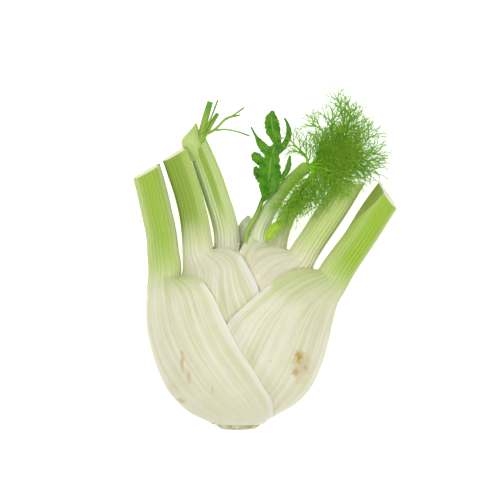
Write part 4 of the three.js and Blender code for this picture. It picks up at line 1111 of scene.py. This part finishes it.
class FennelColours(bpy.types.PropertyGroup):
    """Colours that a user may change."""

    sheath: colour_property("Sheath", "Pale skin of the sheaths", "#E6E3C3")
    # Lines in this colour are partly the veins' own colour and partly painted shade between the ribs
    sheath_shade: colour_property("Sheath veins", "Lines between the veins of a sheath", "#CBCA96")
    beige: colour_property("Beige sheath", "Skin of the shaded second sheath", "#EEE8CC")
    # Lines in this colour are partly the veins' own colour and partly painted shade between the ribs
    beige_shade: colour_property("Beige veins", "Lines between the veins of the beige sheath", "#DAD1AE")
    stalk_foot: colour_property("Stalk foot", "Green at the foot of a stalk", "#CAD98C")
    stalk_top: colour_property("Stalk top", "Green at the cut end of a stalk", "#ADC856")
    stalk_rib: colour_property("Stalk lines", "Darker lines between the ribs of a stalk", "#92B03C")
    bruise: colour_property("Bruise", "Brown marks on the sheaths", "#BC9220")
    frond: colour_property("Frond", "Threads of the frond", "#92CC30")
    frond_light: colour_property("Frond tips", "Tips of the threads", "#BDE455")
    # This colour is also the painted shade of the frond's deeper patches
    frond_dark: colour_property("Frond shade", "Darker threads of the frond", "#5B9F1A")
    dark_leaf: colour_property("Dark leaf", "Blade of the lobed leaf", "#377808")
    leaflet: colour_property("Small leaflet", "Blade of the leaflet at the throat", "#A2C932")


class BuildLeaves(bpy.types.Operator):
    """Builds the six sheaths with their stalks"""

    bl_idname = "fennel.leaves"
    bl_label = "Sheaths and stalks"

    def execute(self, context):
        sizes, colours = context.scene.fennel_sizes, context.scene.fennel_colours
        for leaf in LEAVES:
            beige = leaf.slot == "sheath_beige"
            white, shade = (colours.beige, colours.beige_shade) if beige else (colours.sheath, colours.sheath_shade)
            skin = sheath_skin("Fennel sheath " + leaf.slot, colours, leaf.slot, white, shade)
            dress(leaf_mesh(leaf, sizes, skin), leaf.node)
        return {"FINISHED"}


class BuildCutNode(bpy.types.Operator):
    """Builds the oblique cut sheath on the third stalk's node"""

    bl_idname = "fennel.cut_node"
    bl_label = "Cut node"

    def execute(self, context):
        skin = stem_skin("Cut stalk node", linear("#C3D784"), linear("#B5CC6C"))
        part = stem_parts(CUT_NODE, 40, 48, lambda angle, t: 0.12 * np.cos(9 * angle) * (1 - t))
        made = gathered("third_leaf_cut_node", [part], skin)
        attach(made, "root")
        return {"FINISHED"}


class BuildRoot(bpy.types.Operator):
    """Builds the root plate"""

    bl_idname = "fennel.root"
    bl_label = "Root plate"

    def execute(self, context):
        skin = plain_skin("Cut fennel root", linear("#DDD9B6"), linear("#BFA873"), 3, 0.7)
        part = stem_parts(ROOT_PLATE, 60, 72, lambda angle, t: 0.2 * np.cos(13 * angle + 9 * t) * (1 - t))
        dress(gathered("root_plate_skin", [part], skin), "root_plate")
        return {"FINISHED"}


class BuildFrondStalk(bpy.types.Operator):
    """Builds the pale stalk of the frond"""

    bl_idname = "fennel.frond_stalk"
    bl_label = "Frond stalk"

    def execute(self, context):
        skin = stem_skin("Young fennel stalk", linear("#E3E6C4"), linear("#8DB53F"))
        part = stem_parts(FROND_STALK, 160, 96, lambda angle, t: 0.14 * np.cos(18 * angle) * smooth(t * 2))
        dress(gathered("frond_stalk_skin", [part], skin), "frond_stalk")
        return {"FINISHED"}


class BuildBlades(bpy.types.Operator):
    """Builds the dark lobed leaf, the small leaflet and the tip behind them"""

    bl_idname = "fennel.blades"
    bl_label = "Leaf blades"

    def execute(self, context):
        colours = context.scene.fennel_colours
        dark = blade_skin(
            "Dark fennel leaf", colours.dark_leaf, linear("#559512"), linear("#8DB24A"), 0.3,
            foot=(50, 66, linear("#9DBA55")),
        )
        lobes = [blade_parts(rows, 6 + i % 3, i) for i, rows in enumerate(DARK_LOBES)]
        stem = stem_parts(DARK_STEM, 60, 16)
        dress(gathered("leaf_dark_skin", lobes + [stem], dark), "leaf_dark")
        bright = blade_skin("Young leaflet", colours.leaflet, linear("#8FBB2C"), linear("#C9DF7A"), 0.4)
        dress(gathered("leaflet_small_skin", [blade_parts(LEAFLET, 7, 21)], bright), "leaflet_small")
        pale = plain_skin("Pale sheath tip", linear("#D5D7C5"), linear("#B9BE9E"), 6, 0.5)
        dress(gathered("back_tip_skin", [blade_parts(BACK_TIP, 2, 30)], pale), "sheath_back_tip")
        return {"FINISHED"}


class BuildStubs(bpy.types.Operator):
    """Builds the cut green stems and threads on the third stalk"""

    bl_idname = "fennel.stubs"
    bl_label = "Cut frond stubs"

    def execute(self, context):
        skin = stem_skin("Cut frond stem", linear("#9CBD48"), linear("#67A22A"), 0.42)
        parts = [stem_parts(rows, 36, 14) for rows in STUBS]
        dress(gathered("frond_stubs_skin", parts, skin), "frond_stubs")
        return {"FINISHED"}


class BuildFrond(bpy.types.Operator):
    """Grows the feathery frond on its branches"""

    bl_idname = "fennel.frond"
    bl_label = "Frond"

    def execute(self, context):
        sizes, colours = context.scene.fennel_sizes, context.scene.fennel_colours
        curve = bpy.data.curves.new("frond_branches", "CURVE")
        curve.dimensions = "3D"
        for path in BRANCHES:
            path = [(row + [z])[:3] for row, z in zip(path, RISES[len(path)])]
            points, _, _ = curve_points([NODE, *path], BRANCH_POINTS)
            spline = curve.splines.new("POLY")
            spline.points.add(len(points) - 1)
            spline.points.foreach_set("co", np.column_stack([points * MM, np.ones(len(points))]).ravel())
        branches = bpy.data.objects.new("frond_branches", curve)
        context.scene.collection.objects.link(branches)
        tree = frond_tree(thread_skin("Frond threads", colours))
        grow = branches.modifiers.new("Frond", "NODES")
        grow.node_group = tree
        values = {title: getattr(sizes, title.lower().replace(" ", "_")) for title in FROND_SIZES}
        values["Seed"] = sizes.seed
        for item in tree.interface.items_tree:
            if item.in_out == "INPUT" and item.name in values:
                grow[item.identifier] = values[item.name]
        shown = branches.evaluated_get(context.evaluated_depsgraph_get())
        mesh = bpy.data.meshes.new_from_object(shown)
        bpy.data.objects.remove(branches)
        if not mesh.polygons:
            raise RuntimeError("the frond's node tree made no faces")
        made = bpy.data.objects.new("frond_threads", mesh)
        context.scene.collection.objects.link(made)
        dress(made, "frond")
        return {"FINISHED"}


# The studio, in metres: a white ground, lamps of (name, place, size, power) aimed at the bulb, and the camera, from
# which the bulb's middle plane is as large as in the photo
GROUND_SIZE = 3
SOFTBOXES = [("overhead softbox", (-0.3, 0.35, 1.5), 0.9, 13.6), ("side softbox", (0.75, -0.35, 1.1), 0.7, 4.2)]
AIM = Vector((0.005, 0.03, 0.03))
CAMERA_AT = (5.2 * MM, 36.4 * MM, 1.4)
SENSOR = 36  # width of the camera's sensor in millimetres
PHOTO_PIXELS = 500  # width of the photo
PIXEL = 0.52  # millimetres on the bulb's middle plane that a pixel of it shows


def lay_ground(scene):
    ground, _, surface = new_material("White paper ground", specular=0.0, ior=1.5, roughness=0.9)
    surface.inputs["Base Color"].default_value = (0.9, 0.9, 0.9, 1)
    surface.inputs["Emission Color"].default_value = (1, 1, 1, 1)
    surface.inputs["Emission Strength"].default_value = 0.62
    mesh = bpy.data.meshes.new("ground")
    half = GROUND_SIZE / 2
    mesh.from_pydata([(-half, -half, 0), (half, -half, 0), (half, half, 0), (-half, half, 0)], [], [(0, 1, 2, 3)])
    mesh.materials.append(ground)
    floor = bpy.data.objects.new("ground", mesh)
    scene.collection.objects.link(floor)


def light_studio(scene):
    """White surroundings and the soft lamps, all aimed at the bulb."""
    world = bpy.data.worlds.new("White studio")
    world.use_nodes = True
    background = world.node_tree.nodes["Background"].inputs
    background["Color"].default_value = (1, 1, 1, 1)
    background["Strength"].default_value = 0.34
    scene.world = world
    for name, place, size, power in SOFTBOXES:
        lamp = bpy.data.lights.new(name, "AREA")
        lamp.size = size
        lamp.energy = power
        holder = bpy.data.objects.new(name, lamp)
        holder.location = place
        holder.rotation_euler = (AIM - Vector(place)).to_track_quat("-Z", "Y").to_euler()
        scene.collection.objects.link(holder)


def hang_camera(scene):
    """Camera that looks straight down and shows the bulb's middle plane as large as the photo does."""
    lens = bpy.data.cameras.new("top view")
    lens.sensor_width = SENSOR
    lens.lens = SENSOR * (CAMERA_AT[2] - MID_Z * MM) / (PHOTO_PIXELS * PIXEL * MM)
    camera = bpy.data.objects.new("top view", lens)
    camera.location = CAMERA_AT
    scene.collection.objects.link(camera)
    scene.camera = camera


class BuildStage(bpy.types.Operator):
    """Adds the white ground, the soft lights and the camera that looks straight down"""

    bl_idname = "fennel.stage"
    bl_label = "Stage"

    def execute(self, context):
        scene = context.scene
        lay_ground(scene)
        light_studio(scene)
        hang_camera(scene)
        scene.view_settings.view_transform = "Standard"
        return {"FINISHED"}


OPERATORS = [BuildLeaves, BuildCutNode, BuildRoot, BuildFrondStalk, BuildBlades, BuildStubs, BuildFrond, BuildStage]


class FennelPanel(bpy.types.Panel):
    """Sizes, colours and building steps of the fennel bulb."""

    bl_idname = "VIEW3D_PT_fennel"
    bl_label = "Fennel bulb"
    bl_space_type = "VIEW_3D"
    bl_region_type = "UI"
    bl_category = "Fennel"

    def draw(self, context):
        for group in (context.scene.fennel_sizes, context.scene.fennel_colours):
            for title in group.bl_rna.properties.keys():
                if title not in ("rna_type", "name"):
                    self.layout.prop(group, title)
        for operator in OPERATORS:
            self.layout.operator(operator.bl_idname)


CLASSES = [FennelSizes, FennelColours, *OPERATORS, FennelPanel]


def register():
    for item in CLASSES:
        bpy.utils.register_class(item)
    bpy.types.Scene.fennel_sizes = bpy.props.PointerProperty(type=FennelSizes)
    bpy.types.Scene.fennel_colours = bpy.props.PointerProperty(type=FennelColours)


def unregister():
    del bpy.types.Scene.fennel_sizes
    del bpy.types.Scene.fennel_colours
    for item in reversed(CLASSES):
        bpy.utils.unregister_class(item)


def main():
    register()
    bpy.ops.fennel.leaves()
    bpy.ops.fennel.cut_node()
    bpy.ops.fennel.root()
    bpy.ops.fennel.frond_stalk()
    bpy.ops.fennel.blades()
    bpy.ops.fennel.stubs()
    bpy.ops.fennel.frond()
    bpy.ops.fennel.stage()


if __name__ == "__main__":
    main()
